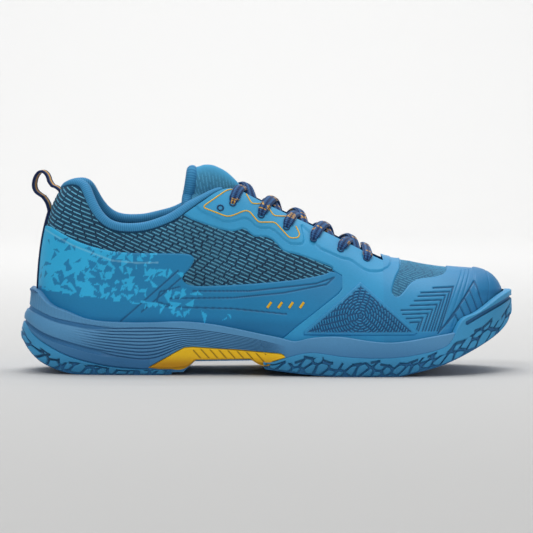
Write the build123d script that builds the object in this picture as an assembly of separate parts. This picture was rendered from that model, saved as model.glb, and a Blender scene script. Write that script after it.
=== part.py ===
from build123d import *
import os

import numpy as np

# Court shoe, right foot: sole unit, layered upper, tongue, sockliner, lace and pull loop.
#
# Millimetres. +X runs from heel to toe, +Y to the medial side, +Z up from the ground. The origin is on the
# ground at the middle of the shoe's box. The upper is a family of thin layers at different depths of one
# smooth surface, wall(w, v, depth): w runs round the footprint (0 heel, 1 toe tip, 2 heel again, with the
# lateral side first), and v runs from the lasting board (0) to the instep ridge (1).

# Driving dimensions
MESH = 1.4               # thickness of the base mesh
FILM = 1.0               # thickness of an overlay
BOND = 0.15              # glue line between two layers
BOARD = 2.0              # lasting board
SOCKLINER = 4.5
RUBBER = 4.0             # outsole under the foot
WRAP = 2.2               # outsole rubber on the side walls
LACE_R = 1.25
EYELET_R = 1.9
ROLL_R = 3.0             # collar roll
POCKET_GAP = 0.5         # between the upper and the midsole's pocket
TAPE = 1.2               # webbing thickness
TAPE_WIDTH = 11.0
AGLET = 12.0             # length of a lace tip
TONGUE_WIDE = 0.4        # half the tongue's width, as a share of the arch
GROOVE_DEPTH = 1.8       # tread grooves
LINING = (-2.4, -1.65)   # depths of the linings' two faces
COUNTER = 1.3            # heel counter's thickness

# Shape tables: x against a height, a width or a share
FOOTPRINT = [
    (-139, 0), (-133.5, -17), (-117, -28), (-90, -32.5), (-55, -34), (-15, -37.5), (20, -43.5),
    (52, -47.5), (82, -46.5), (108, -39), (128, -26), (140, -11), (144.5, 7),
    (140, 23), (127, 36.5), (106, 45), (82, 48.5), (56, 47), (25, 41.5), (-8, 35.5), (-45, 32),
    (-88, 31.5), (-116, 28), (-133.5, 17),
]
TOE_POINT = 12           # index of the toe tip in FOOTPRINT
BED = [(-139, 27), (-110, 24), (-70, 22.5), (-30, 20), (10, 16), (45, 14), (75, 14.5), (100, 18.5),
       (120, 23.5), (146, 31)]
SPINE_X = [(-139, -95), (-130, -92), (-115, -87.5), (-95, -79), (-70, -66), (-40, -40), (0, 0), (60, 60),
           (95, 93), (115, 107), (130, 115), (145, 121)]
SPINE_Y = [(-95, 0), (-20, 0), (40, 1), (90, 4.5), (121, 7)]
RIDGE = [(-95, 127), (-75, 125), (-50, 121.5), (-17, 114.8), (0, 106.8), (20, 97), (45, 84.5),
         (70, 72.2), (83, 67.6), (100, 64), (113, 62.3), (121, 61.6)]
RISE = [(-139, .62), (-110, .68), (-80, .75), (-45, .70), (-17, .62), (20, .55), (60, .55), (95, .6),
        (120, .68), (145, .8)]
CROWN = [(-139, .80), (-110, .78), (-80, .75), (-45, .62), (-17, .47), (20, .48), (60, .5), (95, .5),
         (120, .56), (145, .64)]
BULGE = [(-139, .5), (-100, .5), (-40, .5), (0, 1), (60, 2), (100, 1.5), (130, 1), (145, 0)]

# Side profiles, as x and z
COLLAR_SEAM = [(-123.9, 109.7), (-117.5, 112.6), (-112.1, 110.3), (-108.3, 103.5), (-105.2, 97.3),
               (-99, 89.8), (-90.9, 85.8), (-83.4, 84.5), (-72.8, 85.5), (-63.5, 88.6), (-54.8, 92.7),
               (-44.3, 99.7), (-37.3, 104.3), (-30.3, 108.6)]
THROAT = [(-19, 110.0), (-11, 106.5), (0, 101.0), (20, 91.2), (40, 81.5), (60, 71.8), (69, 67.5)]
GROUND_HEEL = [(-149, 24), (-147.9, 20), (-143.7, 13.7), (-136.6, 7.4), (-129.7, 4.0), (-122.7, 1.7),
               (-108, 0)]
GROUND_TOE = [(80, 0), (90.2, 2.6), (101.3, 5.3), (112.4, 9.4), (123.4, 14.6), (132.3, 19.3),
              (141.2, 25), (147.1, 31), (149.5, 38)]
RIM_TOP = [(-143.4, 50.8), (-139, 49), (-133.8, 43.8), (-122.7, 38.5), (-111.4, 34.3), (-101.6, 32.3),
           (-87.7, 31.5), (-66.6, 31.5), (-55, 32), (-34.5, 30.7), (-18.2, 27.9), (-1.9, 24.6),
           (10.4, 22.1), (17, 20.8), (24, 22.3), (32, 23.4), (44.5, 23.6), (56, 22), (75.4, 20.3),
           (90.2, 22), (101.3, 23.8), (115, 26), (130, 30), (152, 36)]
HEEL_RUBBER_TOP = [(-152, 34), (-146.6, 30.5), (-141.6, 24.9), (-133.2, 18.6), (-122.7, 13),
                   (-108.6, 8.4), (-94.7, 5.6), (-80.6, 4.2), (-64, 3.6)]
TOE_RUBBER_TOP = [(4, 8.5), (14, 11.7), (26.7, 14.2), (38.4, 13), (53.2, 11.5), (68, 11.1),
                  (82.8, 12), (93.9, 13.8), (105, 16.8), (111, 22), (115, 30), (123.4, 36),
                  (134.5, 42), (141.9, 46.5), (152, 50)]
SHANK_TOP = [(-71, 4.6), (-49.3, 17), (-44.3, 17.4), (8.7, 13.8), (13, 11.2)]
SHANK_UNDER = [(5, 7.4), (-5.1, 7.3), (-9.2, 9.9), (-42.7, 9.1), (-47.6, 5), (-56.6, 3.8)]
EYELETS = [(-27.8, 99.4), (-20.4, 101.8), (-3.3, 94.6), (12.1, 87.2), (27.9, 80.3), (44.3, 74.0),
           (59.6, 68.0)]
SOLE_LEVELS = [(-1, 2.6, 9), (4, 4.4, 10), (10, 5.4, 10.2), (17, 5.6, 10.1), (23, 5.2, 9.7),
               (29, 4.8, 8.2), (35, 4.4, 6.8), (41, 4.1, 4.2), (48, 4.0, 3.9), (56, 4.0, 3.9)]
HEEL_TOP = [(-131, 88.6), (-111, 77.3), (-98, 74.3), (-86, 73.2), (-74, 72.8)]
QUARTER_TOP = [(-73, 72.8), (-60, 72.4), (-50, 68), (-42, 58), (-34, 54), (-23, 53.8), (0, 55),
               (19, 57.3), (40, 60)]
LOOP = [(-131.0, 113.2), (-132, 115.4), (-132.6, 118.5), (-134.5, 121), (-137, 121.9), (-139.4, 119.7),
        (-141, 116), (-141.3, 112.2), (-140.1, 109.1), (-136.6, 106.8)]
LOOP_TOP = [(-125.9, 110.3), (-127.6, 111.7), (-129.5, 112.4)]
LOOP_FOOT = [(-131.9, 98.6), (-133.1, 102.2), (-135.0, 105.2)]


def smooth(table):
    """A natural cubic spline through (x, value) pairs, held flat outside them."""
    xs, ys = (np.array(column, float) for column in zip(*table))
    count, step = len(xs), np.diff(xs)
    matrix, right = np.zeros((count, count)), np.zeros(count)
    matrix[0, 0] = matrix[-1, -1] = 1
    for i in range(1, count - 1):
        matrix[i, i - 1:i + 2] = step[i - 1], 2 * (step[i - 1] + step[i]), step[i]
        right[i] = 6 * ((ys[i + 1] - ys[i]) / step[i] - (ys[i] - ys[i - 1]) / step[i - 1])
    bend = np.linalg.solve(matrix, right)

    def value(x):
        x = np.clip(x, xs[0], xs[-1])
        i = np.clip(np.searchsorted(xs, x) - 1, 0, count - 2)
        a, b = (xs[i + 1] - x) / step[i], (x - xs[i]) / step[i]
        curve = ((a**3 - a) * bend[i] + (b**3 - b) * bend[i + 1]) * step[i]**2 / 6
        return a * ys[i] + b * ys[i + 1] + curve
    return value


def footprint(points, toe):
    """The closed outline as a function of w, even in arc length along each side."""
    loop = np.array(points * 3 + points[:1], float)
    run = np.r_[0, np.cumsum(np.linalg.norm(np.diff(loop, axis=0), axis=1))]
    x_of, y_of = smooth(list(zip(run, loop[:, 0]))), smooth(list(zip(run, loop[:, 1])))
    n, parts = len(points), []
    for first, last in ((n, n + toe), (n + toe, 2 * n)):
        t = np.linspace(run[first], run[last], 1500)
        x, y = x_of(t), y_of(t)
        arc = np.r_[0, np.cumsum(np.hypot(np.diff(x), np.diff(y)))]
        parts.append((arc / arc[-1], x, y))
    w = np.r_[parts[0][0], 1 + parts[1][0][1:]]
    x = np.r_[parts[0][1], parts[1][1][1:]]
    y = np.r_[parts[0][2], parts[1][2][1:]]
    return lambda q: (np.interp(np.mod(q, 2), w, x), np.interp(np.mod(q, 2), w, y))


foot = footprint(FOOTPRINT, TOE_POINT)
bed, spine_x, spine_y, ridge = smooth(BED), smooth(SPINE_X), smooth(SPINE_Y), smooth(RIDGE)
rise, crown, bulge = smooth(RISE), smooth(CROWN), smooth(BULGE)
rim_top = smooth(RIM_TOP)


def surface(w, v):
    """A point of the upper's outer mesh surface: an arch from the footprint to the spine."""
    w, v = np.broadcast_arrays(np.asarray(w, float), np.asarray(v, float))
    x0, y0 = foot(w)
    x1 = spine_x(x0)
    y1 = spine_y(x1)
    z0, z1 = bed(x0) + BOARD, ridge(x1)
    reach = np.hypot(x1 - x0, y1 - y0)
    early, late, end = 3 * (1 - v)**2 * v, 3 * (1 - v) * v**2, v**3
    inward = -bulge(x0) * early + (late * (1 - crown(x0)) + end) * reach
    z = z0 + (z1 - z0) * (early * rise(x0) + late + end)
    return np.stack([x0 + (x1 - x0) * inward / reach, y0 + (y1 - y0) * inward / reach, z], -1)


def normal(w, v):
    """The outward normal of surface(w, v)."""
    e = 1e-3
    w, v = np.broadcast_arrays(np.asarray(w, float), np.asarray(v, float))
    v = np.clip(v, e, 1 - 2 * e)
    n = np.cross(surface(w + e, v) - surface(w - e, v), surface(w, v + e) - surface(w, v - e))
    return n / np.linalg.norm(n, axis=-1, keepdims=True)


def wall(w, v, depth=0.0):
    """A point at depth outside (or, if negative, inside) the mesh's outer surface."""
    depth = np.broadcast_to(np.asarray(depth, float), np.broadcast(w, v).shape)
    return surface(w, v) + depth[..., None] * normal(w, v)


W_FINE = np.linspace(0, 2, 4001)
X_FINE = foot(W_FINE)[0]


def w_at(x, side):
    """w where the footprint passes x: side -1 is lateral, +1 medial."""
    if side < 0:
        return np.interp(x, X_FINE[:2001], W_FINE[:2001])
    return np.interp(-np.asarray(x), -X_FINE[2000:], W_FINE[2000:])


def locate(x, z):
    """(w, v) of the lateral point whose side view is x, z."""
    w, v = np.meshgrid(np.linspace(0, 1, 401), np.linspace(0, 1, 201), indexing="ij")
    p = surface(w, v)
    i = np.unravel_index(np.argmin((p[..., 0] - x)**2 + (p[..., 2] - z)**2), w.shape)
    return float(w[i]), float(v[i])


# The upper's top edge as v against w: the collar seam, then the throat's edge
EDGE = [(0.0, locate(*COLLAR_SEAM[0])[1])] + [locate(x, z) for x, z in COLLAR_SEAM[1:] + THROAT]
edge = smooth(EDGE)
W_COLLAR = locate(*COLLAR_SEAM[-1])[0]


def lateral(w):
    """The lateral w across the foot from any w."""
    w = np.mod(w, 2)
    return np.where(w <= 1, w, w_at(foot(w)[0], -1))


def edge_at(w):
    return edge(lateral(w))


def line(points):
    """A line on the upper's side, given by its side view, as v against w on either side."""
    height = smooth([locate(x, z) for x, z in points])
    return lambda w: height(lateral(w))


def slab(outer, inner):
    """A closed solid between two grids of points, with ruled sides."""
    skins = []
    for grid in (outer, inner):
        rows = [[Vector(*point) for point in row] for row in grid]
        skins.append(Face.make_surface_from_array_of_points(rows, tol=0.02))
    sides = []
    for one in skins[0].edges():
        other = min(skins[1].edges(), key=lambda e: (e @ 0.5 - one @ 0.5).length)
        sides.append(Face.make_surface_from_curves(one, other))
    return Solid(Shell(skins + sides))


def patch(w, v, inner, outer):
    """A layer over grids of w and v, between two depths (numbers or grids)."""
    return slab(wall(w, v, outer), wall(w, v, inner))


def panel(w0, w1, low, high, inner, outer, columns=14, rows=7):
    """A layer from w0 to w1 and from v = low to v = high; the limits may be functions of w."""
    w, share = np.meshgrid(np.linspace(w0, w1, columns), np.linspace(0, 1, rows), indexing="ij")
    v0 = low(w) if callable(low) else low
    v1 = high(w) if callable(high) else high
    depths = [d(w, share) if callable(d) else d for d in (inner, outer)]
    return patch(w, v0 + (v1 - v0) * share, *depths)


def above(x, y):
    """(w, v) of the surface's point over the plan position x, y."""
    w = W_FINE[:2001] if y < spine_y(x) else W_FINE[2000:-1]
    x0, y0 = foot(w)
    x1 = spine_x(x0)
    y1 = spine_y(x1)
    reach = np.hypot(x1 - x0, y1 - y0)
    off = ((x - x0) * (y1 - y0) - (y - y0) * (x1 - x0)) / reach
    share = ((x - x0) * (x1 - x0) + (y - y0) * (y1 - y0)) / reach**2
    i = int(np.argmin(np.abs(off) + 1000 * (share < -0.05) + 1000 * (share > 1.01)))
    v = np.linspace(0, 1, 400)
    early, late = 3 * (1 - v)**2 * v, 3 * (1 - v) * v**2
    inward = -bulge(x0[i]) * early + (late * (1 - crown(x0[i])) + v**3) * reach[i]
    return w[i], np.interp(share[i] * reach[i], inward[100:], v[100:])


def over(x0, x1, low, inner, outer, columns=12, rows=15):
    """A layer over the ridge from x0 to x1, down to v = low(w) on both sides."""
    ws = np.linspace(0.5, 1.5, 1201)
    rim = surface(ws, low(ws))
    grid_w, grid_v = np.zeros((columns, rows)), np.zeros((columns, rows))
    for i, x in enumerate(np.linspace(x0, x1, columns)):
        y_lat = np.interp(x, rim[:601, 0], rim[:601, 1])
        y_med = np.interp(-x, -rim[600:, 0], rim[600:, 1])
        for j, angle in enumerate(np.linspace(-80, 80, rows)):
            share = 0.5 + 0.5 * np.sin(np.radians(angle)) / np.sin(np.radians(80))
            grid_w[i, j], grid_v[i, j] = above(x, y_lat + (y_med - y_lat) * share)
    return patch(grid_w, grid_v, inner, outer)


def prism(*runs):
    """A prism across the shoe. Each run of x, z points is a straight line or a smooth curve."""
    edges = []
    for run in runs:
        points = [(x, -80, z) for x, z in run]
        edges.append(Line(*points) if len(points) == 2 else Spline(*points))
    return Solid.extrude(Face(Wire(edges)), Vector(0, 160, 0))


def outward(w):
    """The footprint's outward direction in plan."""
    e = 1e-3
    (xa, ya), (xb, yb) = foot(w - e), foot(w + e)
    run = np.hypot(xb - xa, yb - ya)
    return -(yb - ya) / run, (xb - xa) / run


SPIN = -1 if outward(0.5)[1] > 0 else 1


def outline(offset, z, count=36):
    """The footprint's outline at height z, moved outward by offset (a number or a function of x)."""
    w = np.linspace(0, 2, count, endpoint=False)
    x, y = foot(w)
    nx, ny = outward(w)
    grow = SPIN * (offset(x) if callable(offset) else offset)
    points = [(float(a), float(b), z) for a, b in zip(x + nx * grow, y + ny * grow)]
    return Wire([Spline(*points, periodic=True)])


def column(offset, z0, z1):
    """An upright prism on the footprint's outline."""
    return Solid.extrude(Face(outline(offset, z0)), Vector(0, 0, z1 - z0))


def sole_block(inset):
    """The sole's outer shape, or a copy standing inset from it all round."""
    sections = []
    for z, side, back in SOLE_LEVELS:
        grow = lambda x: side + (back - side) * np.clip((-105 - x) / 34, 0, 1)**2 - inset
        sections.append(outline(grow, z))
    return Solid.make_loft(sections)


def raised(points, lift):
    return [(x, z + lift) for x, z in points]


def over_bed(low, high, x0, x1):
    """A prism between two heights above the bed."""
    xs = np.linspace(x0, x1, max(3, round((x1 - x0) / 12)))
    lower = [(float(x), float(bed(x)) + low) for x in xs]
    upper = [(float(x), float(bed(x)) + high) for x in xs]
    return prism(lower, [lower[-1], upper[-1]], upper[::-1], [upper[0], lower[0]])


def sole_unit():
    """Rubber heel and forefoot, the shank between them and the midsole over all three."""
    block, core = sole_block(0), sole_block(WRAP)
    heel_back, toe_tip = GROUND_HEEL[0], GROUND_TOE[-1]
    heel_region = prism(
        HEEL_RUBBER_TOP, [HEEL_RUBBER_TOP[-1], (-57, 3.4)], [(-57, 3.4), (-57, 0.5)],
        [(-57, 0.5), (-64, 0)], [(-64, 0), GROUND_HEEL[-1]], GROUND_HEEL[::-1],
        [heel_back, (-156, 24)], [(-156, 24), (-156, 34)], [(-156, 34), HEEL_RUBBER_TOP[0]])
    heel_core = prism(
        raised(GROUND_HEEL, RUBBER), [(-108, RUBBER), (-50, RUBBER)], [(-50, RUBBER), (-50, 60)],
        [(-50, 60), (-149, 60)], [(-149, 60), (-149, 24 + RUBBER)])
    toe_region = prism(
        TOE_RUBBER_TOP, [TOE_RUBBER_TOP[-1], (156, 50)], [(156, 50), (156, 38)], [(156, 38), toe_tip],
        GROUND_TOE[::-1], [GROUND_TOE[0], (40, 0)], [(40, 0), (18, 1.8), (-1, 4.2)],
        [(-1, 4.2), TOE_RUBBER_TOP[0]])
    toe_core = prism(
        raised(GROUND_TOE, RUBBER), [(149.5, 38 + RUBBER), (149.5, 70)], [(149.5, 70), (-6, 70)],
        [(-6, 70), (-6, 8.6)], [(-6, 8.6), (18, 1.8 + RUBBER), (40, RUBBER)], [(40, RUBBER), (80, RUBBER)])
    outsole_heel = block & heel_region
    outsole_heel -= core & heel_core
    outsole_toe = block & toe_region
    outsole_toe -= core & toe_core

    shank_region = prism(
        SHANK_TOP, [SHANK_TOP[-1], (4, 8.3)], [(4, 8.3), SHANK_UNDER[0]], SHANK_UNDER,
        [SHANK_UNDER[-1], (-64, 3.7)], [(-64, 3.7), SHANK_TOP[0]])
    shank_core = prism(
        raised(SHANK_UNDER[::-1], 2.6), [(5, 10), (5, 60)], [(5, 60), (-66, 60)], [(-66, 60), (-66, 5.6)],
        [(-66, 5.6), (-56.6, 6.4)])
    shank = block & shank_region
    for piece in (core & shank_core, outsole_heel, outsole_toe):
        shank -= piece
    shank = max(shank.solids(), key=lambda piece: piece.volume)

    lifted = [(-156, 24), (-149, 24)]
    side = prism(
        RIM_TOP, [RIM_TOP[-1], (156, 36)], [(156, 36), (156, 30)], [(156, 30), (120, 9)], [(120, 9), (80, 1)],
        [(80, 1), (20, 3)], [(20, 3), (4, 7)], [(4, 7), (-9, 9.4)], [(-9, 9.4), (-43, 8.6)],
        [(-43, 8.6), (-50, 2)], [(-50, 2), (-108, 1)], [(-108, 1), (-140, 10)], [(-140, 10), (-156, 24)],
        [(-156, 24), (-156, 36)], [(-156, 36), (-143.4, 43)], [(-143.4, 43), RIM_TOP[0]])
    pocket = column(POCKET_GAP + 1.6, -2, 90) & over_bed(0, 60, -153, 153)
    outsole_toe -= pocket
    midsole = block & side
    for piece in (outsole_heel, outsole_toe, shank, pocket):
        midsole -= piece
    midsole = max(midsole.solids(), key=lambda piece: piece.volume)
    return outsole_heel, outsole_toe, shank, midsole


W_HEEL = float(w_at(-73.5, -1))
W_MID = float(w_at(41, -1))
W_VAMP = float(w_at(70, -1))
SPOTS = [locate(x, z) for x, z in EYELETS]


def counter_gap(w):
    """How much deeper the lining lies where the heel counter is behind it."""
    return 1.6 * (1 - smoothstep(lateral(w), 0.2, 0.3))


def smoothstep(x, a, b):
    t = np.clip((x - a) / (b - a), 0, 1)
    return t * t * (3 - 2 * t)


def pad_low(w):
    """Where the collar's padding starts, as v."""
    return edge_at(w) - 0.16 + 0.06 * smoothstep(lateral(w), 0.2, 0.37)


def pad_in(w, share):
    """The padding's inner face: fullest in its middle, thin at the front end."""
    full = 5.5 - 3.4 * smoothstep(lateral(w), 0.24, 0.37)
    return -1.7 - full * (0.45 + 0.55 * np.sin(np.pi * np.clip(0.15 + 0.8 * share, 0, 1)))


def both_sides(name, w0, w1, *args, **kwargs):
    """The same panel on the lateral and the medial side."""
    medial0, medial1 = float(mirror_w(w1)), float(mirror_w(w0))
    return {name + "_lateral": panel(w0, w1, *args, **kwargs),
            name + "_medial": panel(medial0, medial1, *args, **kwargs)}


def mirror_w(w):
    """The medial w across the foot from a lateral one."""
    return w_at(foot(w)[0], 1) if w > 0.02 else 2 - w


def toe_line(w):
    """The top of the band round the forefoot and toe, as v."""
    u = lateral(w)
    return (0.54 - 0.12 * smoothstep(u, W_VAMP - 0.02, W_VAMP + 0.035)
            + 0.12 * smoothstep(u, W_VAMP + 0.04, W_VAMP + 0.1) + 0.3 * smoothstep(u, 0.86, 1.0))


def upper():
    parts = {}
    u = W_COLLAR
    parts |= both_sides("quarter_mesh", 0.002, W_VAMP - 0.002, 0.01, lambda w: edge_at(w) - 0.002,
                        -MESH, 0.0, columns=40, rows=9)
    parts["heel_counter"] = panel(-0.2, 0.2, 0.015, lambda w: np.minimum(0.32, pad_low(w) - 0.03),
                                  -MESH - BOND - COUNTER, -MESH - BOND, columns=16)
    parts["heel_lining"] = panel(-u, u, 0.015, lambda w: pad_low(w) - 0.012,
                                 lambda w, share: LINING[0] - counter_gap(w),
                                 lambda w, share: LINING[1] - counter_gap(w), columns=30)
    pad_top = lambda w: edge_at(w) - 0.014
    parts["collar_padding"] = panel(-u, u, pad_low, pad_top, pad_in, -1.6, columns=40, rows=9)
    parts["collar_lining"] = panel(-u, u, pad_low, pad_top, lambda w, share: pad_in(w, share) - 1.0,
                                   lambda w, share: pad_in(w, share) - 0.2, columns=40, rows=9)
    parts |= both_sides("quarter_lining", u + 0.004, W_VAMP - 0.002, 0.015,
                        lambda w: edge_at(w) - 0.006, *LINING, columns=24, rows=8)
    vamp_low = lambda w: toe_line(w) - 0.07
    parts["vamp_mesh"] = over(70.2, 127.5, vamp_low, -MESH, 0.0)
    parts["vamp_lining"] = over(71.5, 124, vamp_low, -2.4, -1.6)
    parts["toe_puff"] = panel(W_VAMP + 0.02, mirror_w(W_VAMP + 0.02), 0.015,
                              lambda w: toe_line(w) - 0.09, -MESH, 0.0, columns=40)
    outer0, outer1 = BOND, BOND + FILM
    parts["heel_overlay"] = panel(-W_HEEL + 0.002, W_HEEL - 0.002, 0.02, line(HEEL_TOP), outer0, outer1,
                                  columns=24)
    parts |= both_sides("quarter_overlay", W_HEEL + 0.002, W_MID - 0.002, 0.02, line(QUARTER_TOP),
                        outer0, outer1, columns=20)
    parts["forefoot_overlay"] = panel(W_MID + 0.002, mirror_w(W_MID) - 0.002, 0.02, toe_line,
                                      outer0, outer1, columns=60, rows=9)
    parts |= both_sides("eyestay", float(w_at(-33, -1)), W_VAMP - 0.004, lambda w: edge_at(w) - 0.175,
                        lambda w: edge_at(w) - 0.004, outer0, outer1, columns=20)
    for side, name in ((-1, "forefoot_panel_lateral"), (1, "forefoot_panel_medial")):
        share, across = np.meshgrid(np.linspace(0, 1, 7), np.linspace(0, 1, 9), indexing="ij")
        left, right = 39 + 15 * share, 90 - 32 * share
        w = w_at(left + (right - left) * across, side)
        parts[name] = patch(w, 0.13 + 0.33 * share, outer1 + BOND, outer1 + BOND + 0.8)
    return parts


def tongue_grid(depth, x_front=72.5, x_back=-43.0, wide=1.0, columns=20, rows=15):
    """Points of a sheet parallel to the tongue's top, at depth below it."""
    grid = []
    for s in np.linspace(0, 1, columns):
        row = []
        for c in np.linspace(-1, 1, rows):
            end = x_back - 6.5 * abs(c)**1.5
            x = x_front + (end - x_front) * s
            v = 1 - TONGUE_WIDE * wide * abs(c)
            middle = -4.8 + 8.3 * smoothstep(-x, 2, 40) - 0.5 * smoothstep(x, 60, 72)
            side = -6.5 - 4.5 * smoothstep(-x, 12, 32)
            top = middle + (side - middle) * smoothstep(wide * abs(c), 0.08, 0.55)
            side_w = w_at(x, -1 if c < 0 else 1)
            row.append(wall(side_w, v, top - depth))
        grid.append(row)
    return np.array(grid)


def tongue():
    parts = {}
    parts["tongue_shell"] = slab(tongue_grid(0), tongue_grid(0.9))
    parts["tongue_padding"] = slab(tongue_grid(1.5, 64, -42.5, 0.96), tongue_grid(4.5, 64, -42.5, 0.96))
    parts["tongue_lining"] = slab(tongue_grid(4.8), tongue_grid(5.5))
    parts["tongue_binding"] = rope(tongue_grid(2.75, x_back=-46.2, rows=9)[-1], 3.0)
    return parts


def rope(points, radius):
    """A round cord lofted through rings square to its run."""
    rings = []
    for point, run in zip(points, np.gradient(points, axis=0)):
        frame = Plane(origin=Vector(*point), z_dir=Vector(*run), x_dir=(0.3, 0.1, 1))
        rings.append(Wire.make_circle(radius, frame))
    return Solid.make_loft(rings)


def collar_roll():
    points = []
    for w in np.linspace(-W_COLLAR - 0.012, W_COLLAR + 0.012, 19):
        v = edge_at(w)
        up = wall(w, v + 0.02, -3.4) - wall(w, v, -3.4)
        points.append(wall(w, v, -3.4) + up / np.linalg.norm(up) * (ROLL_R + 0.45))
    return rope(np.array(points), ROLL_R)


def ribbon(points, thick, wide):
    """A strip across the shoe's middle, following points x, z on its centre line."""
    path = Spline(*[(x, 0, z) for x, z in points])
    frame = Plane(origin=path @ 0, x_dir=(0, 1, 0), z_dir=path % 0)
    return sweep(frame * Rectangle(wide, thick), path=path)


def plain(point):
    return tuple(float(a) for a in point)


def eyelet_spot(i, side, dv, depth, dx=0.0):
    """A point by eyelet i, shifted up the wall by dv and along the shoe by dx."""
    w, v = SPOTS[i]
    return plain(wall(w_at(foot(w)[0] + dx, side), min(v + dv, 1.0), depth))


def rim_spot(i, side, dx, dv, depth):
    """A point at the throat's edge beside eyelet i."""
    w = w_at(foot(SPOTS[i][0])[0] + dx, side)
    return plain(wall(w, edge_at(w) + dv, depth))


def ridge_spot(x, depth):
    return plain(wall(w_at(x, 1), 1.0, depth))


def strand(side, top, low):
    """Half of the lace, from the lowest eyelet up: over each eyelet's edge, in, and across under it."""
    last = len(EYELETS) - 1
    points = [rim_spot(last, side, 0.5, -0.01, top), eyelet_spot(last, side, 0, top),
              eyelet_spot(last, side, 0, low)]
    for i in range(last, 1, -1):
        middle = (foot(SPOTS[i][0])[0] + foot(SPOTS[i - 1][0])[0]) / 2
        crosses_over = (side < 0) == (i % 2 == 0)
        points.append(rim_spot(i, side, -3, -0.01, low))
        points.append(rim_spot(i, side, -4.5, 0.07, -2.0))
        points.append(ridge_spot(middle, 1.3 if crosses_over else -1.5))
        points.append(rim_spot(i - 1, -side, 3, 0.0, top))
        points.append(eyelet_spot(i - 1, -side, 0, top))
        points.append(eyelet_spot(i - 1, -side, 0, low))
        side = -side
    points.append(eyelet_spot(1, side, -0.1, low - 0.4, 1.5))
    points.append(eyelet_spot(1, side, -0.2, low - 1.4, 3))
    return points


def lace():
    top = BOND + FILM + 0.5 + LACE_R
    low = LINING[0] - 0.3 - LACE_R
    bar = ridge_spot(EYELETS[-1][0], 0.4)
    points = strand(-1, top, low)[::-1] + [bar] + strand(1, top, low)
    path = FilletPolyline(*points, radius=1.5)
    cord = sweep(Plane(origin=path @ 0, z_dir=path % 0) * Circle(LACE_R), path=path)
    tips = []
    for tip, before in ((points[0], points[1]), (points[-1], points[-2])):
        away = (Vector(*tip) - Vector(*before)).normalized()
        frame = Plane(origin=Vector(*tip) + away * 0.3, z_dir=away)
        tips.append(Solid.make_cylinder(LACE_R + 0.1, AGLET, frame))
    return {"lace": cord, "aglets": Compound(tips)}


def eyelet_holes(side):
    holes = []
    for i in range(len(EYELETS)):
        start, end = Vector(*eyelet_spot(i, side, 0, -3.5)), Vector(*eyelet_spot(i, side, 0, 2.5))
        holes.append(Solid.make_cylinder(EYELET_R, 6, Plane(origin=start, z_dir=end - start)))
    return holes


def tread(x0, x1, pitch):
    """Zigzag grooves across the sole, as upright bands."""
    bands = []
    for x in np.arange(x0, x1, pitch):
        front = [(float(x) + (2.5 if i % 2 else -2.5), -60.0 + 12 * i) for i in range(11)]
        back = [(a + 2.2, b) for a, b in reversed(front)]
        loop = Wire.make_polygon([(a, b, -3) for a, b in front + back])
        bands.append(Solid.extrude(Face(loop), Vector(0, 0, 45)))
    return bands


def bed_slice(offset, low, high, x0, x1):
    """The part of the footprint between two heights above the bed, from x0 to x1."""
    return column(offset, 5, 60) & over_bed(low, high, x0, x1)


def bottom():
    """The sole unit with its tread, the cushions let into its bed, the board and the sockliner."""
    outsole_heel, outsole_toe, shank, midsole = sole_unit()
    lift = GROOVE_DEPTH
    groove_floor = column(-1.5, -5, 60) & prism(
        raised(GROUND_HEEL, lift), [(-108, lift), (80, lift)], raised(GROUND_TOE, lift),
        [(149.5, 38 + lift), (149.5, -5)], [(149.5, -5), (-149, -5)], [(-149, -5), (-149, 24 + lift)])
    for band in tread(-132, -66, 9.5):
        outsole_heel -= band & groove_floor
    for band in tread(8, 126, 9.0):
        outsole_toe -= band & groove_floor
    midsole -= bed_slice(-8.9, -8.1, 2, -134.1, -65.9)
    midsole -= bed_slice(-9.9, -4.6, 2, 37.9, 108.1)
    liner = BOARD + 0.4
    return {
        "outsole_heel": outsole_heel,
        "outsole_forefoot": outsole_toe,
        "shank_plate": shank,
        "midsole": max(midsole.solids(), key=lambda piece: piece.volume),
        "heel_cushion": bed_slice(-9, -8, -0.1, -134, -66),
        "forefoot_cushion": bed_slice(-10, -4.5, -0.1, 38, 108),
        "lasting_board": bed_slice(0.6, 0.1, BOARD - 0.1, -153, 153),
        "sockliner": bed_slice(-5.2, liner, liner + SOCKLINER, -153, 153),
    }


def dash(x):
    """A slanted bar on the lateral quarter, starting at x."""
    corners = [locate(x + dx, z) for dx, z in ((-1.6, 40), (1.4, 40), (1.4, 44.5), (4.4, 44.5))]
    low_left, low_right, high_left, high_right = np.array(corners)
    along, up = np.meshgrid(np.linspace(0, 1, 4), np.linspace(0, 1, 4), indexing="ij")
    along, up = along[..., None], up[..., None]
    low = low_left + (low_right - low_left) * along
    high = high_left + (high_right - high_left) * along
    w, v = np.moveaxis(low * (1 - up) + high * up, -1, 0)
    return patch(w, v, BOND + FILM + 0.1, BOND + FILM + 0.6)


def trim():
    """The webbing at the heel and the bars on the side."""
    low, high = locate(-139, 52)[1], locate(-131, 96.5)[1]
    anchors = [ribbon(LOOP_TOP, TAPE, TAPE_WIDTH), ribbon(LOOP_FOOT, TAPE, TAPE_WIDTH)]
    return {
        "pull_loop": ribbon(LOOP, TAPE, TAPE_WIDTH),
        "loop_anchors": Compound(anchors),
        "heel_tape": panel(-0.0183, 0.0183, low, high, 1.3, 1.3 + TAPE, columns=5, rows=14),
        "side_dashes": Compound([dash(0.5 + 6.5 * k) for k in range(4)]),
    }


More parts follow.
